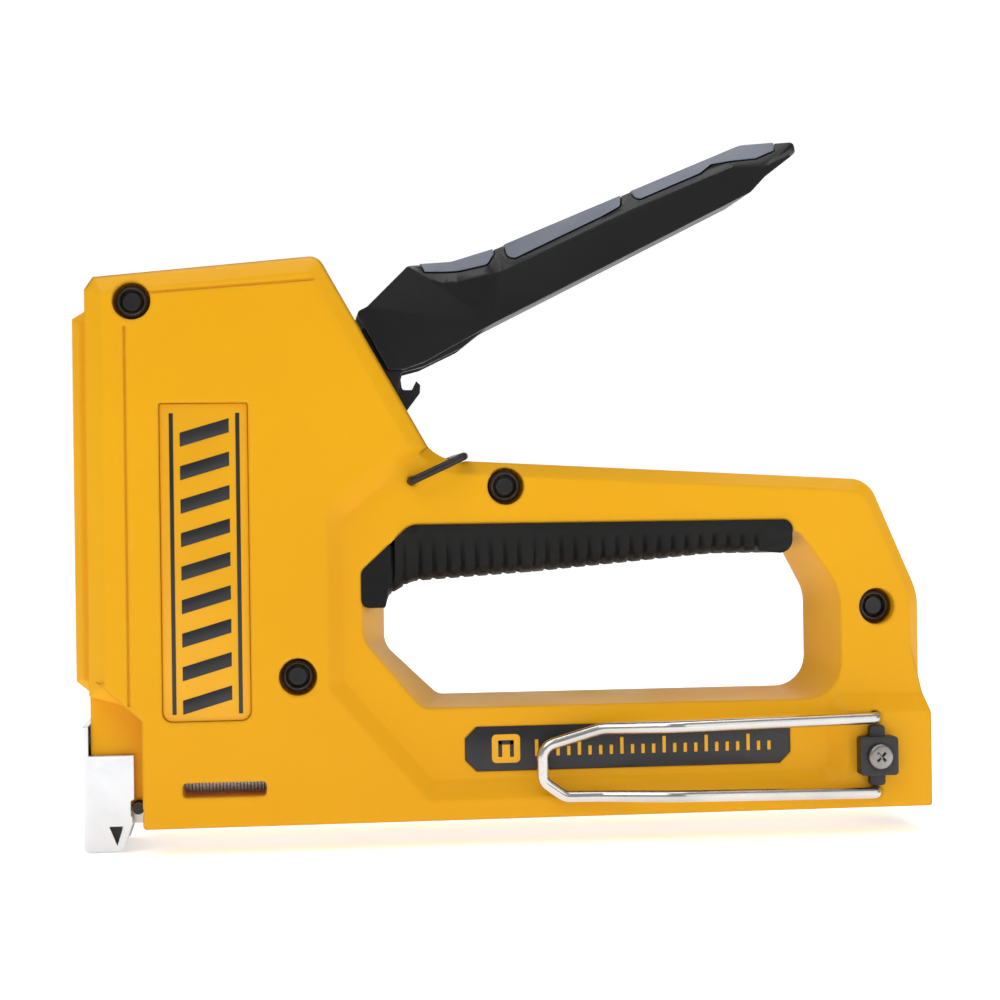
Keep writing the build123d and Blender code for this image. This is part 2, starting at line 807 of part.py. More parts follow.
def return_spring():
    """Torsion spring round the lift arm's sleeve."""
    ring = coil(5.1, 0.5, 2, cheek_outer - sheet - arm_half - 0.3)
    return Pos(pivot_x, arm_half + 0.2, pivot_z) * Rot(-90, 0, 0) * ring


def pad_outlines():
    """Side views of the three soft pads, from the neck to the tip."""
    tip = pivot_x + lever_length
    neck = [
        (69.4, 116.6),
        (76.5, 117.0, 6.0),
        (82.4, 118.3, 1.8),
        (84.0, 120.8, 1.0),
        (83.4, 127.0),
        (66.5, 127.0),
    ]
    middle = [
        (86.6, 118.8, 1.4),
        (tip - 42.0, 128.3, 20.0),
        (tip - 38.3, 130.4, 1.2),
        (tip - 37.6, 133.0),
        (tip - 39.0, 140.0),
        (86.0, 131.0),
    ]
    end = [
        (tip - 34.9, 131.5, 1.0),
        (tip - 21.3, 137.3, 3.0),
        (tip - 18.7, 139.4),
        (tip - 9.6, 140.4),
        (tip - 5.2, 142.4),
        (tip - 3.4, 150.0),
        (tip - 36.5, 142.0),
    ]
    return [neck, middle, end]


def lever_pad(index):
    """One soft pad over the cover's top and shoulders, a little proud of it."""
    cover = cover_body()
    over = Pos(0, 0, pad_proud) * cover & plate(pad_outlines()[index], -cover_half, cover_half)
    return over - Pos(0, 0, -pad_sunk) * cover


# ---------------------------------------------------------------- lock bail
def lock_bail():
    """U-shaped wire that swings up from the handle and holds the squeezed lever."""
    inner = bail_half - 4.6
    corners = [
        (bail_x, -inner, bail_z),
        (bail_x, -bail_half, bail_z),
        (bar_x, -bail_half, bar_z),
        (bar_x, bail_half, bar_z),
        (bail_x, bail_half, bail_z),
        (bail_x, inner, bail_z),
    ]
    return wire_part(FilletPolyline(*corners, radius=1.5), bail_wire_r)


# ---------------------------------------------------------------- striker
def striker_block():
    """Block that carries the driver blade: a spring seat, a rear wall and two lips for the lift arm."""
    half = striker_half
    block = box(blade_x1, striker_rear_x, -half, half, striker_z0, striker_z1)
    gap = arm_tip_r + 0.6
    top = tip_z + gap + striker_lip
    block += box(striker_rear_x - 1.4, striker_rear_x, -half, half, striker_z0, top)
    for z0 in (tip_z - gap - striker_lip, tip_z + gap):
        block += box(striker_rear_x, tip_x + 1.6, -4.5, 4.5, z0, z0 + striker_lip)
    for x, z in blade_rivet_spots():
        block -= rod_x(x, z, 1.1, 0, blade_x1 + 4)
    return block


def blade_rivet_spots():
    """Y and Z of the two rivets that hold the blade."""
    return [(-3.4, (striker_z0 + striker_z1) / 2), (3.4, (striker_z0 + striker_z1) / 2)]


def driver_blade():
    """Flat blade that drives the staple out of the nose."""
    blade = box(blade_x0, blade_x1, -blade_half, blade_half, blade_rest_z, blade_top_z)
    for y, z in blade_rivet_spots():
        blade -= rod_x(y, z, 1.1, -2, blade_x1 + 1)
    return blade


def blade_rivets():
    """Rivets through the blade into the striker block."""
    return [rod_x(y, z, 1.1, blade_x0, blade_x1 + 4) for y, z in blade_rivet_spots()]


def main_spring():
    """Strong coil spring that throws the striker down."""
    ring = coil(main_spring_r, main_spring_wire_r, main_spring_turns, spring_top_z - striker_z1 - 0.4)
    return Pos(spring_x, 0, striker_z1 + 0.2) * ring


def spring_cap():
    """Block under the guide frame's top that the main spring pushes on."""
    return box(blade_x1 + part_gap, 10.0, 0.1 - striker_half, striker_half - 0.1, spring_top_z, spring_top_z + 2.0)


def guide_frame():
    """Folded steel frame that guides the striker, open at the front and slotted at the rear for the lift arm."""
    x0 = front_x + wall + 0.1
    outer = guide_half + guide_sheet
    rear0 = guide_rear_x - guide_sheet
    frame = box(x0, guide_rear_x, guide_half, outer, guide_z0, guide_z1)
    frame += box(x0, guide_rear_x, -outer, -guide_half, guide_z0, guide_z1)
    frame += box(x0, guide_rear_x, -guide_half, guide_half, guide_z1 - guide_sheet, guide_z1)
    frame += box(x0, guide_rear_x, -guide_half, guide_half, bumper_z0 - guide_sheet, bumper_z0)
    frame += box(rear0, guide_rear_x, -guide_half, guide_half, guide_z0, tip_z - 12)
    return frame + box(rear0, guide_rear_x, -guide_half, guide_half, guide_z1 - 4.7, guide_z1)


def striker_bumper():
    """Rubber block that stops the striker."""
    return box(blade_x1 + part_gap, striker_rear_x, -6.0, 6.0, bumper_z0, bumper_z1)


# ---------------------------------------------------------------- magazine
def magazine_channel():
    """Steel channel in the base, open below, with side windows to see the staples."""
    x0, x1 = channel_front_x, cap_x0 - part_gap
    channel = box(x0, x1, -channel_half, channel_half, base_z, channel_top_z)
    channel -= box(x0 - 1, x1 + 1, -channel_inner, channel_inner, base_z - 1, channel_top_z - channel_sheet)
    return channel - box(window_x0, window_x1, -9, 9, window_z0, window_z1 - 0.4)


def staple_strip():
    """Strip of staples, legs down, that straddles the rail."""
    x0 = channel_front_x
    inner = staple_half - staple_wire
    strip = box(x0, x0 + strip_length, -staple_half, staple_half, staple_base_z, staple_top_z)
    return strip - box(x0 - 1, x0 + strip_length + 1, -inner, inner, staple_base_z - 1, staple_top_z - staple_wire)


def magazine_rail():
    """Channel that slides out at the rear, with a front tab that holds the guide rod."""
    x0 = channel_front_x
    inner = rail_half - rail_sheet
    rail = box(x0, cap_x0, -rail_half, rail_half, rail_base_z, rail_top_z)
    rail -= box(x0 - 1, cap_x0 + 1, -inner, inner, rail_base_z + rail_sheet, rail_top_z + 1)
    rail += box(x0, x0 + 1.0, -inner, inner, rail_base_z + rail_sheet, rod_z + 2.2)
    return rail - rod_x(0, rod_z, rod_r, x0 - 1, x0 + 2)


def guide_rod():
    """Rod that the follower and its spring run on."""
    return rod_x(0, rod_z, rod_r, channel_front_x, cap_x0)


def follower():
    """Block that pushes the staples forward. Two slots clear the rail's walls."""
    x0, x1 = follower_x0, follower_x0 + follower_length
    gap = 0.4
    block = box(x0, x1, -staple_half, staple_half, rail_base_z + rail_sheet + gap, staple_top_z)
    for y0, y1 in ((rail_half - rail_sheet - gap, rail_half + gap), (-rail_half - gap, rail_sheet - rail_half + gap)):
        block -= box(x0 - 1, x1 + 1, y0, y1, rail_base_z - 1, rail_top_z + gap - 0.05)
    return block - rod_x(0, rod_z, rod_r + running_gap, x0 - 1, x1 + 1)


def pusher_spring():
    """Long soft coil on the guide rod behind the follower."""
    x0 = follower_x0 + follower_length + 0.1
    ring = coil(1.9, 0.3, pusher_turns, cap_x0 - x0 - 0.1)
    return Pos(x0, 0, rod_z) * Rot(0, 90, 0) * ring


def magazine_cap():
    """Moulded end cap of the rail, with a small pull lip below the heel."""
    x1 = rear_x + 0.2
    half = channel_half - part_gap
    cap = box(cap_x0, x1, -half, half, base_z - 0.2, channel_top_z - part_gap)
    rear_edges = [e for e in cap.edges() if e.center().X > x1 - 0.01]
    return chamfer(rear_edges, 0.6)


# ---------------------------------------------------------------- belt hook
def belt_hook():
    """Bent steel wire on the left side. It bows out from its clamp and nips in again at its loop."""
    near = -(head_half + hook_wire_r + hook_gap)
    buried = -(head_half - hook_hole_depth + 0.2)
    bow_x, nip_x, loop_x = clasp_x - 43.7, clasp_x - 57.5, clasp_x - 69.6
    spread = hook_spread
    corners = [
        (clasp_x, buried, clasp_z + spread),
        (clasp_x, near, clasp_z + spread),
        (bow_x, -hook_bow, clasp_z + spread - 0.1),
        (nip_x, near + 0.2, clasp_z + spread - 0.7),
        (loop_x, near + 0.2, clasp_z + 3.6),
        (loop_x, near + 0.2, clasp_z - 3.4),
        (loop_x + 4.5, near + 0.2, clasp_z - spread + 1.1),
        (nip_x, near + 0.2, clasp_z - spread + 1.0),
        (bow_x, -hook_bow, clasp_z - spread + 1.4),
        (clasp_x, near, clasp_z - spread),
        (clasp_x, buried, clasp_z - spread),
    ]
    bends = [1.6, 8, 6, 3, 2.5, 3.5, 6, 8, 1.6]
    return wire_part(FilletPolyline(*corners, radius=bends), hook_wire_r)


def hook_retainer():
    """Cross-shaped clamp plate over the ends of the belt hook."""
    x, z, half, arm = clasp_x, clasp_z, retainer_half, retainer_arm_half
    clamp = box(x - half, x + half, -retainer_top, -head_half, z - half, z + half)
    clamp += box(x - arm, x + arm, -retainer_arm_top, -head_half, z - retainer_reach, z + retainer_reach)
    return clamp - rod_y(x, z, 1.75, -retainer_top - 1, 0)


def hook_screw():
    """Cross-head screw through the retainer into the left shell."""
    x, z = clasp_x, clasp_z
    head = rod_y(x, z, belt_screw_r, -retainer_top - 1.3, -retainer_top)
    head = chamfer(head.edges().filter_by(GeomType.CIRCLE).group_by(Axis.Y)[0], 0.7)
    screw = head + rod_y(x, z, 1.7, -retainer_top, -channel_half - 1.2)
    cut = box(x - 1.5, x + 1.5, -retainer_top - 2, -retainer_top - 0.6, z - 0.3, z + 0.3)
    cut += box(x - 0.3, x + 0.3, -retainer_top - 2, -retainer_top - 0.6, z - 1.5, z + 1.5)
    return screw - Pos(x, 0, z) * Rot(0, 45, 0) * Pos(-x, 0, -z) * cut


# ---------------------------------------------------------------- build every node
nodes = {
    "shell_left": shell("left"),
    "shell_right": shell("right"),
    "finger_grip": finger_grip(),
    "badge_left": badge(-1),
    "badge_right": badge(1),
    "label_left": label(-1),
    "label_right": label(1),
    "nose_plate": nose_plate(),
    "nose_guide": nose_guide(),
    "nose_pins": nose_pins(),
    "shell_screws": shell_screws(),
    "lever_pin": lever_pin(),
    "lever_cover": lever_cover(),
    "lever_core": lever_core(),
    "lever_rivets": lever_rivets(),
    "lift_arm": lift_arm(),
    "lock_hook": lock_hook(),
    "lever_return_spring": return_spring(),
    "lever_pad_neck": lever_pad(0),
    "lever_pad_middle": lever_pad(1),
    "lever_pad_tip": lever_pad(2),
    "lock_bail": lock_bail(),
    "striker_block": striker_block(),
    "driver_blade": driver_blade(),
    "blade_rivets": blade_rivets(),
    "main_spring": main_spring(),
    "spring_cap": spring_cap(),
    "guide_frame": guide_frame(),
    "striker_bumper": striker_bumper(),
    "magazine_channel": magazine_channel(),
    "staple_strip": staple_strip(),
    "magazine_rail": magazine_rail(),
    "guide_rod": guide_rod(),
    "follower": follower(),
    "pusher_spring": pusher_spring(),
    "magazine_cap": magazine_cap(),
    "belt_hook": belt_hook(),
    "hook_retainer": hook_retainer(),
    "hook_screw": hook_screw(),
}

for name, shape in nodes.items():
    solids = shape if isinstance(shape, list) else [shape]
    export_step(Compound(children=[s for part in solids for s in part.solids()]), f"parts/{name}.step")
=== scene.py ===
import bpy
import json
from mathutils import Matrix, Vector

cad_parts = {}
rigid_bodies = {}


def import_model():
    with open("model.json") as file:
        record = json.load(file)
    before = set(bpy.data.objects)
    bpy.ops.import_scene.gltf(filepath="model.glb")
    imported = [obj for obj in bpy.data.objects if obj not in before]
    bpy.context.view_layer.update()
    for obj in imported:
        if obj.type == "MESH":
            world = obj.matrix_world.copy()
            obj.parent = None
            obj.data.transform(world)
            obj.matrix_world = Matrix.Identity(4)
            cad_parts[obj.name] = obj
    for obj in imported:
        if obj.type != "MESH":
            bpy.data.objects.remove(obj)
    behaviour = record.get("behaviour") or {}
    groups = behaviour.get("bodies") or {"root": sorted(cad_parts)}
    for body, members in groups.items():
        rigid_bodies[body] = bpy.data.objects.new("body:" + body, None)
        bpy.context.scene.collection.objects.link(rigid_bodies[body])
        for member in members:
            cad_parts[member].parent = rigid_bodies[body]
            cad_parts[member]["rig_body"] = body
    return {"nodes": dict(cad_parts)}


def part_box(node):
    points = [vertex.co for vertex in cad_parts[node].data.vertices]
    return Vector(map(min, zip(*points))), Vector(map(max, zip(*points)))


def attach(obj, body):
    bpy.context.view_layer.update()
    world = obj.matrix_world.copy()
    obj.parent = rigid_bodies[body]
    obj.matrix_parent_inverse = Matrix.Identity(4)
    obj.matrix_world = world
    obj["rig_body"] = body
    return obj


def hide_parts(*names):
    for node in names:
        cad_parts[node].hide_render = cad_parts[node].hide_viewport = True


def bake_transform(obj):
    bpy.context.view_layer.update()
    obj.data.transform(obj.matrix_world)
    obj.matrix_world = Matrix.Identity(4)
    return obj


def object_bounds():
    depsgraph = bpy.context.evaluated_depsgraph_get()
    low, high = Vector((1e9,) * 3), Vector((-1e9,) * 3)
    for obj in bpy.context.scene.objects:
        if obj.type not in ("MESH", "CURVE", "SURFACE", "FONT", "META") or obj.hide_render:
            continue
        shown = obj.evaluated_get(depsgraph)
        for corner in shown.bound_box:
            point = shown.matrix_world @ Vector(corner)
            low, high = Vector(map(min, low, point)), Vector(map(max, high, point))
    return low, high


bl_info = {
    "name": "Hand Staple Gun",
    "version": (1, 0, 0),
    "blender": (4, 5, 0),
    "location": "View3D > Sidebar > Staple Gun",
    "description": "Models and finishes the visible pieces of a hand staple gun, one button each",
    "category": "Add Mesh",
}

import json
import math

import bmesh
import bpy
from bpy.props import FloatProperty, FloatVectorProperty, IntProperty, PointerProperty
from bpy.types import Operator, Panel, PropertyGroup
from mathutils import Matrix, Vector

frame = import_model()
cad_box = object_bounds()

MM = 0.001
ROUND_SIDES = 48


# ---------------------------------------------------------------- settings
def size(name, description, millimetres):
    """A length setting, given in millimetres and kept in metres."""
    return FloatProperty(
        name=name, description=description, default=millimetres * MM, subtype="DISTANCE", unit="LENGTH"
    )


def colour(name, description, value):
    """A colour setting."""
    return FloatVectorProperty(
        name=name, description=description, default=value, size=3, subtype="COLOR", min=0, max=1
    )


class StapleGunSizes(PropertyGroup):
    rib_pitch: size("Rib pitch", "Distance between two grooves of the finger grip", 2.9)
    rib_depth: size("Rib depth", "Depth of a groove in the finger grip", 1.1)
    grip_roll: size("Grip roll", "How far the grip's lower edges are rounded", 3.2)
    lever_edge: size("Lever edge", "Rounding of the lever cover's edges", 0.55)
    pad_edge: size("Pad edge", "Rounding of the soft pads' edges", 0.3)
    recess_radius: size("Recess radius", "Outer radius of the six-lobe screw recess", 1.8)
    print_height: size("Print height", "How far the badge's and label's marks stand up", 0.1)
    staple_pitch: size("Staple pitch", "Distance between two staples in the strip", 0.7)
    badge_bars: IntProperty(
        name="Badge bars", description="Number of slanted bars on a badge", default=9, min=3, max=20
    )


class StapleGunColours(PropertyGroup):
    body: colour("Body paint", "Satin paint of the two shells", (0.86, 0.42, 0.003))
    trim: colour("Trim black", "Black of the prints and screws", (0.010, 0.010, 0.012))
    rubber: colour("Rubber", "Black rubber of the finger grip", (0.004, 0.004, 0.004))
    lever: colour("Lever cover", "Moulded cover of the lever", (0.0065, 0.0065, 0.007))
    pads: colour("Soft pads", "Soft pads on the lever", (0.125, 0.140, 0.180))
    steel: colour("Bright steel", "Wire and bare steel", (0.62, 0.61, 0.59))
    nose: colour("Nose plate", "Bright plating of the nose", (0.70, 0.71, 0.73))


class StapleGunStage(PropertyGroup):
    key_power: FloatProperty(
        name="Main light", description="Power of the main light", default=2.6, min=0, unit="POWER"
    )
    top_power: FloatProperty(
        name="Top light", description="Power of the light above", default=4.2, min=0, unit="POWER"
    )
    fill_power: FloatProperty(
        name="Fill light", description="Power of the fill light", default=1.1, min=0, unit="POWER"
    )
    surround: FloatProperty(
        name="Surround", description="Brightness of the plain surround", default=0.36, min=0, max=5
    )
    floor_glow: FloatProperty(
        name="Floor glow", description="How much the floor lightens itself", default=0.55, min=0, max=3
    )
    floor_tone: FloatProperty(
        name="Floor tone", description="Grey value of the floor", default=0.90, min=0, max=1
    )


# ---------------------------------------------------------------- selecting and shaping
def object_mode():
    """Leaves edit mode if it is on."""
    if bpy.context.mode != "OBJECT":
        bpy.ops.object.mode_set(mode="OBJECT")


def only(obj):
    """Makes one object the only selected one."""
    object_mode()
    bpy.ops.object.select_all(action="DESELECT")
    obj.select_set(True)
    bpy.context.view_layer.objects.active = obj


def edit(obj):
    """Goes into edit mode on one object, and stays there if it is already on."""
    if bpy.context.mode != "EDIT_MESH" or bpy.context.view_layer.objects.active is not obj:
        only(obj)
        bpy.ops.object.mode_set(mode="EDIT")


def middle_of(item):
    """Middle of a vertex, edge or face, in millimetres."""
    if isinstance(item, bmesh.types.BMVert):
        return item.co / MM
    if isinstance(item, bmesh.types.BMEdge):
        return (item.verts[0].co + item.verts[1].co) / 2 / MM
    return item.calc_center_median() / MM


def pick(obj, kind, test):
    """Goes into edit mode and selects the vertices, edges or faces that pass a test."""
    edit(obj)
    bpy.ops.mesh.select_mode(type=kind)
    bpy.ops.mesh.select_all(action="DESELECT")
    shape = bmesh.from_edit_mesh(obj.data)
    shape.normal_update()
    items = {"VERT": shape.verts, "EDGE": shape.edges, "FACE": shape.faces}[kind]
    for item in items:
        if test(middle_of(item), item):
            item.select_set(True)
    shape.select_flush_mode()
    bmesh.update_edit_mesh(obj.data)


def faces_towards(obj, direction, extra=None):
    """Selects the faces that look one way, and that pass a further test on their middle."""
    axis = Vector(direction)
    pick(obj, "FACE", lambda at, face: face.normal.dot(axis) > 0.9 and (extra is None or extra(at)))


def apply_modifier(obj, kind, **values):
    """Adds one modifier with these values and applies it."""
    only(obj)
    modifier = obj.modifiers.new(kind.title(), kind)
    for name, value in values.items():
        setattr(modifier, name, value)
    bpy.ops.object.modifier_apply(modifier=modifier.name)


def block(name, low, high):
    """A box between two corners, in millimetres."""
    object_mode()
    bpy.ops.object.select_all(action="DESELECT")
    low, high = Vector(low), Vector(high)
    bpy.ops.mesh.primitive_cube_add(size=1, location=(low + high) / 2 * MM, scale=(high - low) * MM)
    obj = bpy.context.active_object
    obj.name = obj.data.name = name
    bpy.ops.object.transform_apply(location=True, rotation=True, scale=True)
    return obj


def disc(name, centre, radius, depth):
    """A cylinder along Y with its outer end at centre and its body behind it, in millimetres."""
    object_mode()
    bpy.ops.object.select_all(action="DESELECT")
    at = Vector((centre[0], centre[1] + depth / 2, centre[2])) * MM
    turn = (math.pi / 2, 0, 0)
    bpy.ops.mesh.primitive_cylinder_add(
        vertices=ROUND_SIDES, radius=radius * MM, depth=depth * MM, location=at, rotation=turn
    )
    obj = bpy.context.active_object
    obj.name = obj.data.name = name
    bpy.ops.object.transform_apply(location=True, rotation=True, scale=True)
    return obj


def copy_of(obj, name, shift):
    """A copy with its own mesh, moved by a shift in millimetres."""
    twin = obj.copy()
    twin.data = obj.data.copy()
    twin.name = twin.data.name = name
    bpy.context.collection.objects.link(twin)
    only(twin)
    bpy.ops.transform.translate(value=Vector(shift) * MM)
    bpy.ops.object.transform_apply(location=True, rotation=True, scale=True)
    return twin


def joined(objects, name):
    """Several objects made one."""
    only(objects[0])
    for obj in objects[1:]:
        obj.select_set(True)
    bpy.ops.object.join()
    objects[0].name = objects[0].data.name = name
    return objects[0]


def welded_copy(node, name, flat=0.5):
    """A copy of a CAD node with its loose triangles welded and its flat faces made whole."""
    obj = bpy.data.objects.new(name, frame["nodes"][node].data.copy())
    bpy.context.collection.objects.link(obj)
    obj.data.name = name
    obj.data.materials.clear()
    only(obj)
    bpy.ops.object.mode_set(mode="EDIT")
    bpy.ops.mesh.select_all(action="SELECT")
    bpy.ops.mesh.remove_doubles(threshold=0.002 * MM)
    bpy.ops.mesh.dissolve_limited(angle_limit=math.radians(flat))
    object_mode()
    return obj


def cut_across(obj, place, direction):
    """Cuts every face of the object along a plane, in millimetres."""
    edit(obj)
    bpy.ops.mesh.select_all(action="SELECT")
    bpy.ops.mesh.bisect(plane_co=Vector(place) * MM, plane_no=direction)


def finish(obj, body, material, nodes, angle=35.0):
    """Smooths a finished piece, gives it its finish and puts it on its CAD body, if one is named."""
    only(obj)
    bpy.ops.object.mode_set(mode="EDIT")
    bpy.ops.mesh.select_all(action="SELECT")
    bpy.ops.mesh.normals_make_consistent(inside=False)
    object_mode()
    bpy.ops.object.shade_smooth_by_angle(angle=math.radians(angle))
    obj.data.materials.clear()
    obj.data.materials.append(bpy.data.materials[material])
    if body:
        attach(obj, body)
    if nodes:
        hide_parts(*nodes)
    return obj


# ---------------------------------------------------------------- shared shader effects
def new_group(name, inputs, outputs):
    """An empty shader group with named sockets, and its input and output nodes."""
    group = bpy.data.node_groups.new(name, "ShaderNodeTree")
    for label, kind, value in inputs:
        socket = group.interface.new_socket(name=label, in_out="INPUT", socket_type=kind)
        socket.default_value = value
    for label, kind in outputs:
        group.interface.new_socket(name=label, in_out="OUTPUT", socket_type=kind)
    return group, group.nodes.new("NodeGroupInput"), group.nodes.new("NodeGroupOutput")


def wire(tree, source, target):
    """Links an output to an input."""
    tree.links.new(source, target)


def math_node(tree, operation, first, second=None, clamp=False):
    """A Math node fed by sockets or numbers."""
    node = tree.nodes.new("ShaderNodeMath")
    node.operation = operation
    node.use_clamp = clamp
    for socket, value in zip(node.inputs, (first, second)):
        if isinstance(value, (int, float)):
            socket.default_value = value
        elif value is not None:
            wire(tree, value, socket)
    return node.outputs[0]


def noise_node(tree, scale, detail=3.0, stretch=None):
    """Noise on Object coordinates. The stretch scales the pattern along each axis."""
    coordinates = tree.nodes.new("ShaderNodeTexCoord")
    place = tree.nodes.new("ShaderNodeMapping")
    if stretch:
        place.inputs["Scale"].default_value = stretch
    noise = tree.nodes.new("ShaderNodeTexNoise")
    noise.inputs["Detail"].default_value = detail
    wire(tree, coordinates.outputs["Object"], place.inputs["Vector"])
    wire(tree, place.outputs["Vector"], noise.inputs["Vector"])
    if isinstance(scale, (int, float)):
        noise.inputs["Scale"].default_value = scale
    else:
        wire(tree, scale, noise.inputs["Scale"])
    return noise.outputs["Fac"]


def grain_group():
    """Fine surface grain over softly rounded edges."""
    inputs = [
        ("Scale", "NodeSocketFloat", 900.0),
        ("Depth", "NodeSocketFloat", 0.3),
        ("Edge Radius", "NodeSocketFloat", 0.0004),
    ]
    group, given, out = new_group(
        "Surface grain", inputs, [("Normal", "NodeSocketVector"), ("Grain", "NodeSocketFloat")]
    )
    rounded = group.nodes.new("ShaderNodeBevel")
    rounded.samples = 6
    wire(group, given.outputs["Edge Radius"], rounded.inputs["Radius"])
    grain = noise_node(group, given.outputs["Scale"], 4.0)
    bump = group.nodes.new("ShaderNodeBump")
    bump.inputs["Distance"].default_value = 0.0001
    wire(group, given.outputs["Depth"], bump.inputs["Strength"])
    wire(group, grain, bump.inputs["Height"])
    wire(group, rounded.outputs["Normal"], bump.inputs["Normal"])
    wire(group, bump.outputs["Normal"], out.inputs["Normal"])
    wire(group, grain, out.inputs["Grain"])
    return group


def edge_group():
    """Mask of worn edges and painted edge highlights: white where the surface turns sharply, broken up by
    noise.
    """
    inputs = [
        ("Radius", "NodeSocketFloat", 0.0006),
        ("Amount", "NodeSocketFloat", 0.5),
        ("Scale", "NodeSocketFloat", 350.0),
    ]
    group, given, out = new_group("Edge wear and sheen", inputs, [("Mask", "NodeSocketFloat")])
    rounded = group.nodes.new("ShaderNodeBevel")
    rounded.samples = 6
    flat = group.nodes.new("ShaderNodeNewGeometry")
    turn = group.nodes.new("ShaderNodeVectorMath")
    turn.operation = "DOT_PRODUCT"
    wire(group, given.outputs["Radius"], rounded.inputs["Radius"])
    wire(group, rounded.outputs["Normal"], turn.inputs[0])
    wire(group, flat.outputs["Normal"], turn.inputs[1])
    sharp = math_node(group, "SUBTRACT", 1.0, turn.outputs["Value"])
    sharp = math_node(group, "MULTIPLY", sharp, 7.0, clamp=True)
    broken = math_node(group, "MULTIPLY", noise_node(group, given.outputs["Scale"], 5.0), 2.4)
    broken = math_node(group, "SUBTRACT", broken, 0.75, clamp=True)
    wear_and_sheen_mask = math_node(group, "MULTIPLY", sharp, broken)
    wear_and_sheen_mask = math_node(group, "MULTIPLY", wear_and_sheen_mask, given.outputs["Amount"], clamp=True)
    wire(group, wear_and_sheen_mask, out.inputs["Mask"])
    return group


def tone_group():
    """Slow drift of a colour between two tones."""
    inputs = [
        ("Colour", "NodeSocketColor", (0.5, 0.5, 0.5, 1.0)),
        ("Second Colour", "NodeSocketColor", (0.4, 0.4, 0.4, 1.0)),
        ("Scale", "NodeSocketFloat", 25.0),
    ]
    group, given, out = new_group("Tone drift", inputs, [("Colour", "NodeSocketColor")])
    ramp = group.nodes.new("ShaderNodeMapRange")
    ramp.inputs["From Min"].default_value = 0.35
    ramp.inputs["From Max"].default_value = 0.65
    wire(group, noise_node(group, given.outputs["Scale"], 2.0), ramp.inputs["Value"])
    mix = group.nodes.new("ShaderNodeMix")
    mix.data_type = "RGBA"
    wire(group, ramp.outputs["Result"], mix.inputs["Factor"])
    wire(group, given.outputs["Colour"], mix.inputs[6])
    wire(group, given.outputs["Second Colour"], mix.inputs[7])
    wire(group, mix.outputs[2], out.inputs["Colour"])
    return group


def smudge_group():
    """Roughness that drifts between two values, with small specks."""
    inputs = [
        ("Low", "NodeSocketFloat", 0.3),
        ("High", "NodeSocketFloat", 0.45),
        ("Scale", "NodeSocketFloat", 60.0),
    ]
    group, given, out = new_group("Handling marks", inputs, [("Roughness", "NodeSocketFloat")])
    broad = noise_node(group, given.outputs["Scale"], 6.0)
    fine = noise_node(group, math_node(group, "MULTIPLY", given.outputs["Scale"], 9.0), 2.0)
    both = math_node(
        group, "ADD", math_node(group, "MULTIPLY", broad, 0.75), math_node(group, "MULTIPLY", fine, 0.25)
    )
    ramp = group.nodes.new("ShaderNodeMapRange")
    ramp.inputs["From Min"].default_value = 0.36
    ramp.inputs["From Max"].default_value = 0.64
    wire(group, both, ramp.inputs["Value"])
    wire(group, given.outputs["Low"], ramp.inputs["To Min"])
    wire(group, given.outputs["High"], ramp.inputs["To Max"])
    wire(group, ramp.outputs["Result"], out.inputs["Roughness"])
    return group


def drawn_group():
    """Fine lines along X, as drawing or rolling leaves on steel."""
    inputs = [
        ("Scale", "NodeSocketFloat", 120.0),
        ("Depth", "NodeSocketFloat", 0.2),
        ("Edge Radius", "NodeSocketFloat", 0.0003),
    ]
    group, given, out = new_group("Drawn lines", inputs, [("Normal", "NodeSocketVector")])
    rounded = group.nodes.new("ShaderNodeBevel")
    rounded.samples = 6
    wire(group, given.outputs["Edge Radius"], rounded.inputs["Radius"])
    lines = noise_node(group, given.outputs["Scale"], 4.0, (0.6, 22.0, 22.0))
    bump = group.nodes.new("ShaderNodeBump")
    bump.inputs["Distance"].default_value = 0.00006
    wire(group, given.outputs["Depth"], bump.inputs["Strength"])
    wire(group, lines, bump.inputs["Height"])
    wire(group, rounded.outputs["Normal"], bump.inputs["Normal"])
    wire(group, bump.outputs["Normal"], out.inputs["Normal"])
    return group


# ---------------------------------------------------------------- materials
def placed(tree, group_name, **values):
    """One of the shared effects, placed in a material with its own values."""
    node = tree.nodes.new("ShaderNodeGroup")
    node.node_tree = bpy.data.node_groups[group_name]
    for name, value in values.items():
        node.inputs[name.replace("_", " ")].default_value = value
    return node


def rgba(value, factor=1.0):
    """Four numbers from a colour, made lighter or darker."""
    return tuple(min(1.0, part * factor) for part in value) + (1.0,)


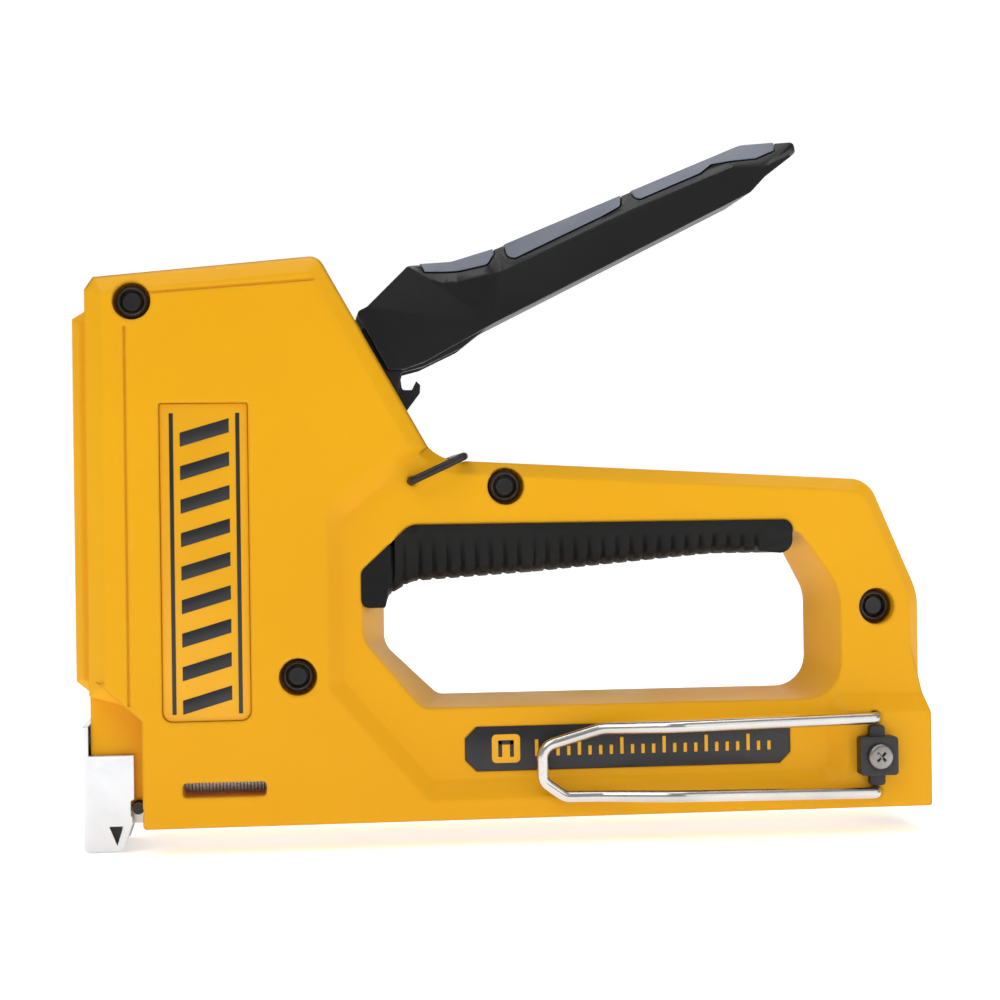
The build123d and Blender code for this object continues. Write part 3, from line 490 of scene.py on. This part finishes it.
def surface(
    name,
    base,
    second,
    tone_scale,
    rough,
    rough_scale,
    metallic=0.0,
    grain=None,
    lines=None,
    wear_and_sheen=None,
    gloss=0.5,
):
    """A finish made of the shared effects: tone, handling marks, grain or drawn lines, and edges lightened
    by wear and, on some finishes, by a painted edge highlight.
    """
    material = bpy.data.materials.new(name)
    material.use_nodes = True
    tree = material.node_tree
    shader = tree.nodes["Principled BSDF"]
    shader.inputs["Metallic"].default_value = metallic
    shader.inputs["Specular IOR Level"].default_value = gloss
    tone = placed(tree, "Tone drift", Colour=base, Second_Colour=second, Scale=tone_scale)
    marks = placed(tree, "Handling marks", Low=rough[0], High=rough[1], Scale=rough_scale)
    colour_out, rough_out = tone.outputs["Colour"], marks.outputs["Roughness"]
    # Edge colour from the edge mask: wear on the metals and plastics; wear plus a painted edge highlight on
    # the body paint, grip rubber and lever cover.
    if wear_and_sheen:
        wear_and_sheen_colour, radius, amount, worn_rough = wear_and_sheen
        edge = placed(tree, "Edge wear and sheen", Radius=radius, Amount=amount)
        mix = tree.nodes.new("ShaderNodeMix")
        mix.data_type = "RGBA"
        wire(tree, edge.outputs["Mask"], mix.inputs["Factor"])
        wire(tree, colour_out, mix.inputs[6])
        mix.inputs[7].default_value = wear_and_sheen_colour
        colour_out = mix.outputs[2]
        polish = tree.nodes.new("ShaderNodeMix")
        wire(tree, edge.outputs["Mask"], polish.inputs["Factor"])
        wire(tree, rough_out, polish.inputs[2])
        polish.inputs[3].default_value = worn_rough
        rough_out = polish.outputs[0]
    wire(tree, colour_out, shader.inputs["Base Color"])
    wire(tree, rough_out, shader.inputs["Roughness"])
    if grain:
        bump = placed(tree, "Surface grain", Scale=grain[0], Depth=grain[1], Edge_Radius=grain[2])
        wire(tree, bump.outputs["Normal"], shader.inputs["Normal"])
    if lines:
        bump = placed(tree, "Drawn lines", Scale=lines[0], Depth=lines[1], Edge_Radius=lines[2])
        wire(tree, bump.outputs["Normal"], shader.inputs["Normal"])
    return material


def make_materials():
    """Every finish of the staple gun."""
    for build in (grain_group, edge_group, tone_group, smudge_group, drawn_group):
        build()
    tints = bpy.context.scene.staple_gun_colours
    body, trim, steel = tints.body, tints.trim, tints.steel
    warm = (body[0] * 0.96, body[1] * 0.93, body[2], 1.0)
    # Paler yellow for the edges: worn paint, and a painted highlight along the rounded edges.
    pale_wear_and_sheen = (min(1.0, body[0] * 1.05), body[1] * 1.25, body[2] + 0.05, 1.0)
    surface(
        "body paint",
        rgba(body),
        warm,
        18.0,
        (0.34, 0.46),
        70.0,
        grain=(1500.0, 0.22, 0.0011),
        # Paler edges: paint wear and a painted edge highlight.
        wear_and_sheen=(pale_wear_and_sheen, 0.0012, 0.35, 0.3),
        gloss=0.2,
    )
    surface(
        "badge paint",
        rgba(body, 1.03),
        warm,
        40.0,
        (0.30, 0.40),
        90.0,
        grain=(1100.0, 0.15, 0.0002),
        gloss=0.4,
    )
    surface(
        "print black", rgba(trim), rgba(trim, 1.8), 60.0, (0.32, 0.44), 150.0, grain=(2200.0, 0.25, 0.0001)
    )
    surface(
        "grip rubber",
        rgba(tints.rubber),
        rgba(tints.rubber, 1.7),
        45.0,
        (0.48, 0.62),
        120.0,
        grain=(2600.0, 0.45, 0.0003),
        # Lighter grey rib edges: rubbed rubber, and a painted highlight on the ribs.
        wear_and_sheen=((0.03, 0.03, 0.032, 1.0), 0.0005, 0.5, 0.5),
        gloss=0.22,
    )
    surface(
        "lever cover",
        rgba(tints.lever),
        rgba(tints.lever, 1.35),
        30.0,
        (0.36, 0.48),
        80.0,
        grain=(2400.0, 0.5, 0.0003),
        # Blue-grey edges: wear, and a painted reflection standing in for the glossy shoulder.
        wear_and_sheen=((0.075, 0.08, 0.088, 1.0), 0.0006, 0.5, 0.38),
        gloss=0.22,
    )
    surface(
        "soft pad",
        rgba(tints.pads),
        rgba(tints.pads, 1.2),
        40.0,
        (0.50, 0.62),
        110.0,
        grain=(3000.0, 0.4, 0.0002),
    )
    surface(
        "black steel",
        (0.022, 0.022, 0.024, 1.0),
        (0.034, 0.033, 0.034, 1.0),
        70.0,
        (0.32, 0.46),
        200.0,
        metallic=0.6,
        grain=(1800.0, 0.3, 0.0002),
        wear_and_sheen=((0.22, 0.21, 0.20, 1.0), 0.0004, 0.6, 0.3),
    )
    surface(
        "inner steel",
        (0.30, 0.30, 0.31, 1.0),
        (0.38, 0.37, 0.36, 1.0),
        60.0,
        (0.30, 0.45),
        120.0,
        metallic=1.0,
        grain=(900.0, 0.2, 0.0002),
        wear_and_sheen=((0.55, 0.54, 0.52, 1.0), 0.0004, 0.5, 0.25),
    )
    surface(
        "zinc plate",
        (0.55, 0.55, 0.54, 1.0),
        (0.62, 0.61, 0.58, 1.0),
        90.0,
        (0.26, 0.42),
        160.0,
        metallic=1.0,
        lines=(60.0, 0.25, 0.0002),
        wear_and_sheen=((0.75, 0.74, 0.72, 1.0), 0.0004, 0.5, 0.2),
    )
    surface(
        "bright wire",
        rgba(steel, 1.1),
        rgba(steel, 0.9),
        60.0,
        (0.16, 0.27),
        150.0,
        metallic=1.0,
        lines=(50.0, 0.3, 0.0001),
    )
    surface(
        "nose plating",
        rgba(tints.nose),
        rgba(tints.nose, 0.94),
        80.0,
        (0.10, 0.22),
        120.0,
        metallic=1.0,
        grain=(260.0, 0.12, 0.0003),
        wear_and_sheen=((0.45, 0.42, 0.38, 1.0), 0.0003, 0.45, 0.35),
    )
    surface(
        "spring steel",
        (0.20, 0.20, 0.21, 1.0),
        (0.27, 0.26, 0.26, 1.0),
        80.0,
        (0.25, 0.38),
        180.0,
        metallic=1.0,
        lines=(70.0, 0.3, 0.0001),
    )
    surface(
        "screw steel",
        (0.25, 0.245, 0.24, 1.0),
        (0.33, 0.32, 0.31, 1.0),
        150.0,
        (0.30, 0.44),
        260.0,
        metallic=1.0,
        grain=(1500.0, 0.25, 0.0002),
        wear_and_sheen=((0.55, 0.54, 0.52, 1.0), 0.0003, 0.6, 0.25),
    )
    surface(
        "black plastic",
        (0.016, 0.016, 0.017, 1.0),
        (0.026, 0.026, 0.027, 1.0),
        50.0,
        (0.40, 0.52),
        120.0,
        grain=(1900.0, 0.4, 0.0004),
        wear_and_sheen=((0.07, 0.07, 0.07, 1.0), 0.0005, 0.45, 0.4),
    )
    surface(
        "staple wire",
        (0.58, 0.57, 0.55, 1.0),
        (0.66, 0.65, 0.62, 1.0),
        300.0,
        (0.24, 0.36),
        300.0,
        metallic=1.0,
        lines=(90.0, 0.2, 0.00005),
    )


# CAD nodes that keep their shape, and the finish that each one gets.
CAD_FINISHES = {
    "shell_left": "body paint",
    "shell_right": "body paint",
    "nose_plate": "nose plating",
    "nose_guide": "black steel",
    "nose_pins": "black steel",
    "lever_pin": "inner steel",
    "lever_core": "black steel",
    "lever_rivets": "inner steel",
    "lift_arm": "black steel",
    "lock_hook": "black steel",
    "lever_return_spring": "spring steel",
    "lock_bail": "black steel",
    "striker_block": "inner steel",
    "driver_blade": "inner steel",
    "blade_rivets": "inner steel",
    "spring_cap": "black plastic",
    "guide_frame": "zinc plate",
    "striker_bumper": "grip rubber",
    "magazine_channel": "zinc plate",
    "magazine_rail": "zinc plate",
    "guide_rod": "bright wire",
    "follower": "black plastic",
    "magazine_cap": "black plastic",
    "belt_hook": "bright wire",
}


# ---------------------------------------------------------------- operators
class STAPLEGUN_OT_finishes(Operator):
    """Makes the finishes and gives them to the CAD pieces that keep their shape"""

    bl_idname = "staplegun.finishes"
    bl_label = "Metal, Paint and Plastic"

    def execute(self, context):
        make_materials()
        for node, material in CAD_FINISHES.items():
            mesh = frame["nodes"][node].data
            mesh.materials.clear()
            mesh.materials.append(bpy.data.materials[material])
        return {"FINISHED"}


class STAPLEGUN_OT_finger_grip(Operator):
    """Models the ribbed rubber grip along the top of the hand opening"""

    bl_idname = "staplegun.finger_grip"
    bl_label = "Finger Grip"

    def execute(self, context):
        sizes = context.scene.staple_gun_sizes
        low, high = (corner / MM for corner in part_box("finger_grip"))
        grip = welded_copy("finger_grip", "ribbed_finger_grip")
        border, step_in, below_roof = 2.2, 0.3, 4.5
        front_end, rear_end = low.x + 5.5, high.x - 3.5
        side_depth, floor_half, groove_half = 3.5, 0.2, 0.6
        face, top_line = high.y, high.z - border
        for height in (top_line, top_line - 0.4):
            cut_across(grip, (0, 0, height), (0, 0, 1))
        for inset in (0.9, 2.3, 4.3):
            for side in (-1, 1):
                cut_across(grip, (0, side * (face - inset), 0), (0, 1, 0))
        for inset, share in ((0, 1.0), (0.9, 0.5), (2.3, 0.2)):
            on_ring = lambda at: abs(abs(at.y) - face + inset) < 0.05 and at.z < high.z - below_roof
            pick(grip, "VERT", lambda at, vert: on_ring(at) and front_end < at.x < rear_end)
            bpy.ops.transform.translate(value=(0, 0, sizes.grip_roll * share))
        pick(grip, "VERT", lambda at, vert: abs(at.y) > face - 0.05 and at.z < top_line - 0.2)
        bpy.ops.transform.resize(value=(1, 1 - step_in / face, 1), center_override=(0, 0, 0))
        pitch = sizes.rib_pitch / MM
        first, last = low.x + 6.3, high.x - 5.5
        grooves = [first + i * pitch for i in range(int((last - first) / pitch) + 1)]
        for x in grooves:
            for step in (-groove_half, -floor_half, floor_half, groove_half):
                cut_across(grip, (x + step, 0, 0), (1, 0, 0))
        floors = [x + side for x in grooves for side in (-floor_half, floor_half)]
        for share, near, far in ((1.0, face - side_depth, face + 1), (0.3, -1, face - side_depth)):
            in_groove = lambda at, vert: near < abs(at.y) <= far and any(
                abs(at.x - x) < 0.03 for x in floors
            )
            pick(grip, "VERT", lambda at, vert: at.z < top_line - 0.5 and in_groove(at, vert))
            bpy.ops.transform.shrink_fatten(value=-sizes.rib_depth * share)
        object_mode()
        finish(grip, "body", "grip rubber", ["finger_grip"], 40.0)
        return {"FINISHED"}


class STAPLEGUN_OT_lever(Operator):
    """Rounds the lever's moulded cover and its three soft pads"""

    bl_idname = "staplegun.lever"
    bl_label = "Lever Cover and Pads"

    def execute(self, context):
        sizes = context.scene.staple_gun_sizes
        rounding = {
            "limit_method": "ANGLE", "angle_limit": math.radians(28), "segments": 3, "harden_normals": False
        }
        cover = welded_copy("lever_cover", "lever_cover_rounded", 1.0)
        apply_modifier(cover, "BEVEL", width=sizes.lever_edge, **rounding)
        finish(cover, "lever", "lever cover", ["lever_cover"], 40.0)
        for place in ("neck", "middle", "tip"):
            pad = welded_copy(f"lever_pad_{place}", f"soft_pad_{place}", 1.0)
            apply_modifier(pad, "BEVEL", width=sizes.pad_edge, **rounding)
            finish(pad, "lever", "soft pad", [f"lever_pad_{place}"], 40.0)
        return {"FINISHED"}


def raised_bar(name, x0, x1, z0, z1, y0, y1):
    """A printed bar with soft edges."""
    bar = block(name, (x0, y0, z0), (x1, y1, z1))
    apply_modifier(bar, "BEVEL", width=0.06 * MM, segments=2)
    return bar


class STAPLEGUN_OT_badges(Operator):
    """Models the two side badges: a painted plate with two rules and a row of slanted bars"""

    bl_idname = "staplegun.badges"
    bl_label = "Side Badges"

    def execute(self, context):
        sizes = context.scene.staple_gun_sizes
        rise = sizes.print_height / MM
        for side, sign in (("left", -1), ("right", 1)):
            low, high = (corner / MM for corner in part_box(f"badge_{side}"))
            plate = welded_copy(f"badge_{side}", f"badge_plate_{side}")
            apply_modifier(plate, "BEVEL", width=0.15 * MM, segments=2, limit_method="ANGLE")
            finish(plate, "body", "badge paint", [f"badge_{side}"])
            face = low.y if sign < 0 else high.y
            y0, y1 = sorted((face - sign * 0.1, face + sign * rise))
            z0, z1 = low.z + 1.4, high.z - 1.9
            bars = [raised_bar("rule", low.x + 1.9, low.x + 2.7, z0, z1, y0, y1)]
            bars.append(raised_bar("rule", high.x - 2.4, high.x - 1.6, z0, z1, y0, y1))
            left, right = low.x + 4.0, high.x - 3.7
            pitch = (z1 - z0) / sizes.badge_bars
            for i in range(sizes.badge_bars):
                base = z0 + i * pitch
                bar = raised_bar("bar", left, right, base, base + pitch * 0.42, y0, y1)
                pick(bar, "VERT", lambda at, vert: at.x > (left + right) / 2)
                bpy.ops.transform.translate(value=(0, 0, pitch * 0.42 * MM))
                object_mode()
                bars.append(bar)
            marks = joined(bars, f"badge_marks_{side}")
            finish(marks, "body", "print black", [])
        return {"FINISHED"}


class STAPLEGUN_OT_labels(Operator):
    """Models the two small labels: a black film with a staple sign and a row of measuring ticks"""

    bl_idname = "staplegun.labels"
    bl_label = "Labels"

    def execute(self, context):
        rise = context.scene.staple_gun_sizes.print_height / MM
        for side, sign in (("left", -1), ("right", 1)):
            low, high = (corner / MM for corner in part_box(f"label_{side}"))
            film = welded_copy(f"label_{side}", f"label_film_{side}")
            apply_modifier(film, "BEVEL", width=0.08 * MM, segments=2, limit_method="ANGLE")
            finish(film, "body", "print black", [f"label_{side}"])
            face = low.y if sign < 0 else high.y
            y0, y1 = sorted((face - sign * 0.1, face + sign * rise))
            x, z, wide = low.x + 5.4, low.z + 1.6, 5.8
            plaque = block("plaque", (x, y0, z), (x + wide, y1, z + wide))
            pick(plaque, "EDGE", lambda at, edge: abs(at.y - (y0 + y1) / 2) < 0.001)
            bpy.ops.mesh.bevel(offset=0.9 * MM, segments=4)
            object_mode()
            sign_y0, sign_y1 = sorted((face, face + sign * rise * 1.6))
            strokes = [
                raised_bar("staple", x + 1.3, x + 4.5, z + 3.7, z + 4.6, sign_y0, sign_y1),
                raised_bar("staple", x + 1.3, x + 2.1, z + 1.2, z + 4.55, sign_y0, sign_y1),
                raised_bar("staple", x + 3.7, x + 4.5, z + 1.2, z + 4.55, sign_y0, sign_y1),
            ]
            finish(joined(strokes, f"label_sign_{side}"), "body", "print black", [])
            bars = [plaque]
            start, end, count = x + wide + 3.4, high.x - 4.5, 22
            for i in range(count + 1):
                at = start + (end - start) * i / count
                tall = 3.4 if i % 4 == 0 else 1.9
                bars.append(raised_bar("tick", at - 0.35, at + 0.35, z + 1.2, z + 1.2 + tall, y0, y1))
            marks = joined(bars, f"label_marks_{side}")
            finish(marks, "body", "badge paint", [])
        return {"FINISHED"}


def six_lobe_screw(name, centre, head_radius, recess_radius, length):
    """A pan-head screw with a six-lobe recess that has a pin in its middle. It looks towards -Y."""
    head_depth, head_edge, shank_radius = 2.6, 0.75, 1.9
    recess_depth, pin_gap, pin_height, valley = 1.3, 0.8, 0.7, 0.74
    screw = disc(name, centre, head_radius, head_depth)
    pick(screw, "EDGE", lambda at, edge: abs(at.y - centre[1]) < 0.01)
    bpy.ops.mesh.bevel(offset=head_edge * MM, segments=4, profile=0.6)
    faces_towards(screw, (0, -1, 0), lambda at: abs(at.y - centre[1]) < 0.05)
    bpy.ops.mesh.inset(thickness=(head_radius - head_edge) * MM - recess_radius)
    spot = Vector((centre[0], 0, centre[2]))

    def in_valley(at, vert):
        away = Vector((at.x, 0, at.z)) - spot
        angle = math.degrees(math.atan2(away.z, away.x)) % 60
        return abs(
            at.y - centre[1]
        ) < 0.02 and away.length < recess_radius / MM + 0.05 and abs(angle - 30) < 10

    pick(screw, "VERT", in_valley)
    bpy.ops.transform.resize(value=(valley, 1, valley), center_override=Vector(centre) * MM)
    near = lambda at: (Vector((at.x, 0, at.z)) - spot).length < 0.3 and abs(at.y - centre[1]) < 0.05
    faces_towards(screw, (0, -1, 0), near)
    bpy.ops.mesh.extrude_region_move(TRANSFORM_OT_translate={"value": (0, recess_depth * MM, 0)})
    bpy.ops.mesh.inset(thickness=pin_gap * MM)
    bpy.ops.mesh.extrude_region_move(TRANSFORM_OT_translate={"value": (0, -pin_height * MM, 0)})
    faces_towards(screw, (0, 1, 0), lambda at: at.y > centre[1] + head_depth - 0.1)
    bpy.ops.mesh.inset(thickness=(head_radius - shank_radius) * MM)
    bpy.ops.mesh.extrude_region_move(TRANSFORM_OT_translate={"value": (0, (length - head_depth) * MM, 0)})
    object_mode()
    return screw


class STAPLEGUN_OT_shell_screws(Operator):
    """Models one black six-lobe screw and copies it to the other three places"""

    bl_idname = "staplegun.shell_screws"
    bl_label = "Shell Screws"

    def execute(self, context):
        recess = context.scene.staple_gun_sizes.recess_radius
        low, high = (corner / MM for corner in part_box("shell_screws"))
        radius = 3.3
        head_face, panel_face = low.y, low.y + 2.5
        right, top, bottom = high.x - radius, high.z - radius, low.z + radius
        first = (low.x + radius, head_face, top)
        places = [(42.6, head_face, bottom), (85.2, panel_face, 72.6), (right, panel_face, 46.7)]
        screws = [six_lobe_screw("shell_screw", first, radius, recess, high.y - low.y)]
        for place in places:
            shift = Vector(place) - Vector(first)
            screws.append(copy_of(screws[0], "shell_screw", shift))
        for screw in screws[2:]:
            pick(screw, "VERT", lambda at, vert: at.y > high.y)
            bpy.ops.transform.translate(value=(0, (head_face - panel_face) * MM, 0))
            object_mode()
        piece = joined(screws, "six_lobe_screws")
        finish(piece, "body", "black steel", ["shell_screws"], 30.0)
        return {"FINISHED"}


class STAPLEGUN_OT_belt_clamp(Operator):
    """Models the belt hook's cross-shaped retainer and its cross-head screw"""

    bl_idname = "staplegun.belt_clamp"
    bl_label = "Belt Hook Clamp"

    def execute(self, context):
        retainer = welded_copy("hook_retainer", "hook_clamp")
        only(retainer)
        along = lambda edge: (edge.verts[0].co - edge.verts[1].co).normalized()
        pick(retainer, "EDGE", lambda at, edge: abs(along(edge).y) > 0.99 and edge.calc_length() > 1.5 * MM)
        bpy.ops.mesh.bevel(offset=0.7 * MM, segments=4)
        object_mode()
        apply_modifier(
            retainer,
            "BEVEL",
            width=0.25 * MM,
            segments=3,
            limit_method="ANGLE",
            angle_limit=math.radians(40),
        )
        finish(retainer, "body", "black plastic", ["hook_retainer"])
        low, high = (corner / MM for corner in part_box("hook_screw"))
        x, z, radius = (low.x + high.x) / 2, (low.z + high.z) / 2, (high.x - low.x) / 2
        head_depth, shank_radius = 1.3, 1.7
        screw = disc("cross_head_screw", (x, low.y, z), radius, head_depth)
        pick(screw, "EDGE", lambda at, edge: abs(at.y - low.y) < 0.01)
        bpy.ops.mesh.bevel(offset=0.8 * MM, segments=5, profile=0.55)
        faces_towards(screw, (0, 1, 0))
        bpy.ops.mesh.inset(thickness=(radius - shank_radius) * MM)
        shank = (high.y - low.y - head_depth) * MM
        bpy.ops.mesh.extrude_region_move(TRANSFORM_OT_translate={"value": (0, shank, 0)})
        object_mode()
        slot_half, slot_wide = 1.75, 0.36
        for turn in (45, 135):
            slot_corner = Vector((slot_half, 1.0, slot_wide))
            slot_middle = Vector((x, low.y, z))
            slot_cutter = block("cutter", slot_middle - slot_corner, slot_middle + slot_corner)
            pick(slot_cutter, "VERT", lambda at, vert: at.y > low.y)
            bpy.ops.transform.resize(value=(0.45, 1, 0.6), center_override=slot_middle * MM)
            object_mode()
            spin = Matrix.Translation(Vector((x, 0, z)) * MM) @ Matrix.Rotation(math.radians(turn), 4, "Y")
            slot_cutter.data.transform(spin @ Matrix.Translation(Vector((-x, 0, -z)) * MM))
            apply_modifier(screw, "BOOLEAN", object=slot_cutter, operation="DIFFERENCE", solver="EXACT")
            bpy.data.objects.remove(slot_cutter)
        finish(screw, "body", "screw steel", ["hook_screw"], 30.0)
        return {"FINISHED"}


class STAPLEGUN_OT_staples(Operator):
    """Models one staple and copies it along the strip"""

    bl_idname = "staplegun.staples"
    bl_label = "Staples"

    def execute(self, context):
        pitch = context.scene.staple_gun_sizes.staple_pitch
        low, high = (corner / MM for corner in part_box("staple_strip"))
        wide, thick = pitch / MM - 0.06, 0.6
        staple = block("staples", (low.x, low.y, high.z - thick), (low.x + wide, high.y, high.z))
        cut_across(staple, (0, low.y + thick, 0), (0, 1, 0))
        cut_across(staple, (0, high.y - thick, 0), (0, 1, 0))
        faces_towards(staple, (0, 0, -1), lambda at: at.y < low.y + thick or at.y > high.y - thick)
        bpy.ops.mesh.extrude_region_move(
            TRANSFORM_OT_translate={"value": (0, 0, (low.z - high.z + thick) * MM)}
        )
        object_mode()
        apply_modifier(staple, "BEVEL", width=0.12 * MM, segments=1, limit_method="ANGLE")
        count = int((high.x - low.x) / (pitch / MM))
        apply_modifier(
            staple,
            "ARRAY",
            count=count,
            use_relative_offset=False,
            use_constant_offset=True,
            constant_offset_displace=(pitch, 0, 0),
        )
        body = frame["nodes"]["staple_strip"]["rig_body"]
        finish(staple, body, "staple wire", ["staple_strip"], 30.0)
        return {"FINISHED"}


class STAPLEGUN_OT_springs(Operator):
    """Copies the main spring and the pusher spring as welded coils in spring steel"""

    bl_idname = "staplegun.springs"
    bl_label = "Springs"

    def execute(self, context):
        springs = (("main_spring", "striker", "body", 2), ("pusher_spring", "follower", "magazine", 0))
        for node, moving, still, axis in springs:
            low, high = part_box(node)
            start, end = (low + high) / 2, (low + high) / 2
            start[axis], end[axis] = low[axis], high[axis]
            coil = welded_copy(node, f"{node}_coil")
            finish(coil, None, "spring steel", [node])
            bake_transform(coil)
        return {"FINISHED"}


def soft_light(name, place, target, power, width):
    """A square area light that looks at a point."""
    light = bpy.data.lights.new(name, "AREA")
    light.energy, light.size = power, width
    obj = bpy.data.objects.new(name, light)
    bpy.context.collection.objects.link(obj)
    obj.location = place
    obj.rotation_euler = (Vector(target) - Vector(place)).to_track_quat("-Z", "Y").to_euler()
    return obj


class STAPLEGUN_OT_stage(Operator):
    """Sets up the plain floor, the soft lights and the camera"""

    bl_idname = "staplegun.stage"
    bl_label = "Stage"

    def execute(self, context):
        stage = context.scene.staple_gun_stage
        object_mode()
        bpy.ops.object.select_all(action="DESELECT")
        bpy.ops.mesh.primitive_plane_add(size=1, location=(0.085, 0.9, -0.0002), scale=(1, 1, 1))
        floor = context.active_object
        floor.name = floor.data.name = "plain_floor"
        floor.scale = (9, 6, 1)
        bpy.ops.object.transform_apply(location=True, rotation=True, scale=True)
        pick(floor, "EDGE", lambda at, edge: at.y > 3500)
        bpy.ops.mesh.extrude_region_move(TRANSFORM_OT_translate={"value": (0, 0, 4.0)})
        pick(floor, "EDGE", lambda at, edge: at.y > 3500 and abs(at.z) < 1)
        bpy.ops.mesh.bevel(offset=1.4, segments=16)
        object_mode()
        bpy.ops.object.shade_smooth()
        paper = bpy.data.materials.new("floor paper")
        paper.use_nodes = True
        tree = paper.node_tree
        shader = tree.nodes["Principled BSDF"]
        shader.inputs["Base Color"].default_value = (stage.floor_tone,) * 3 + (1.0,)
        shader.inputs["Roughness"].default_value = 0.85
        shader.inputs["Emission Color"].default_value = (1.0, 1.0, 1.0, 1.0)
        shader.inputs["Emission Strength"].default_value = stage.floor_glow
        floor.data.materials.append(paper)

        world = bpy.data.worlds.new("plain surround")
        context.scene.world = world
        world.use_nodes = True
        background = world.node_tree.nodes["Background"]
        background.inputs["Color"].default_value = (1.0, 1.0, 1.0, 1.0)
        background.inputs["Strength"].default_value = stage.surround

        low, high = cad_box
        middle = (low + high) / 2
        soft_light("main_light", (-0.40, -0.50, 0.85), middle, stage.key_power, 0.55)
        soft_light("fill_light", (0.65, -0.55, 0.25), middle, stage.fill_power, 0.6)
        soft_light("top_light", (0.15, 0.12, 0.95), middle, stage.top_power, 0.8)

        camera = bpy.data.objects.new("camera", bpy.data.cameras.new("camera"))
        context.collection.objects.link(camera)
        camera.data.lens = 68.4
        camera.data.sensor_width = 36.0
        camera.data.clip_start, camera.data.clip_end = 0.01, 30.0
        turn, roll = math.radians(6.3), math.radians(0.75)
        ahead = Vector((math.sin(turn), math.cos(turn), 0))
        side = Vector((math.cos(turn), -math.sin(turn), 0))
        up = Vector((0, 0, 1))
        right = side * math.cos(roll) - up * math.sin(roll)
        above = up * math.cos(roll) + side * math.sin(roll)
        axes = Matrix((right, above, -ahead)).transposed().to_4x4()
        camera.matrix_world = Matrix.Translation(Vector((41.5, -397.6, 69.8)) * MM) @ axes
        context.scene.camera = camera
        context.scene.view_settings.view_transform = "Standard"
        return {"FINISHED"}


OPERATORS = (
    STAPLEGUN_OT_finishes,
    STAPLEGUN_OT_finger_grip,
    STAPLEGUN_OT_lever,
    STAPLEGUN_OT_badges,
    STAPLEGUN_OT_labels,
    STAPLEGUN_OT_shell_screws,
    STAPLEGUN_OT_belt_clamp,
    STAPLEGUN_OT_staples,
    STAPLEGUN_OT_springs,
    STAPLEGUN_OT_stage,
)


class STAPLEGUN_PT_panel(Panel):
    """Buttons for each piece of the staple gun"""

    bl_idname = "STAPLEGUN_PT_panel"
    bl_label = "Staple Gun"
    bl_space_type = "VIEW_3D"
    bl_region_type = "UI"
    bl_category = "Staple Gun"

    def draw(self, context):
        scene = context.scene
        for settings in (scene.staple_gun_sizes, scene.staple_gun_colours, scene.staple_gun_stage):
            column = self.layout.column(align=True)
            for name in settings.bl_rna.properties.keys():
                if name not in {"rna_type", "name"}:
                    column.prop(settings, name)
        for operator in OPERATORS:
            self.layout.operator(operator.bl_idname)


CLASSES = (StapleGunSizes, StapleGunColours, StapleGunStage) + OPERATORS + (STAPLEGUN_PT_panel,)


def register():
    """Registers the add-on's classes and its settings."""
    for item in CLASSES:
        bpy.utils.register_class(item)
    bpy.types.Scene.staple_gun_sizes = PointerProperty(type=StapleGunSizes)
    bpy.types.Scene.staple_gun_colours = PointerProperty(type=StapleGunColours)
    bpy.types.Scene.staple_gun_stage = PointerProperty(type=StapleGunStage)


def unregister():
    """Takes the settings and classes away again."""
    del bpy.types.Scene.staple_gun_stage
    del bpy.types.Scene.staple_gun_colours
    del bpy.types.Scene.staple_gun_sizes
    for item in reversed(CLASSES):
        bpy.utils.unregister_class(item)


def main():
    """Makes every piece in order."""
    register()
    for operator in OPERATORS:
        group, name = operator.bl_idname.split(".")
        getattr(getattr(bpy.ops, group), name)()


if __name__ == "__main__":
    main()
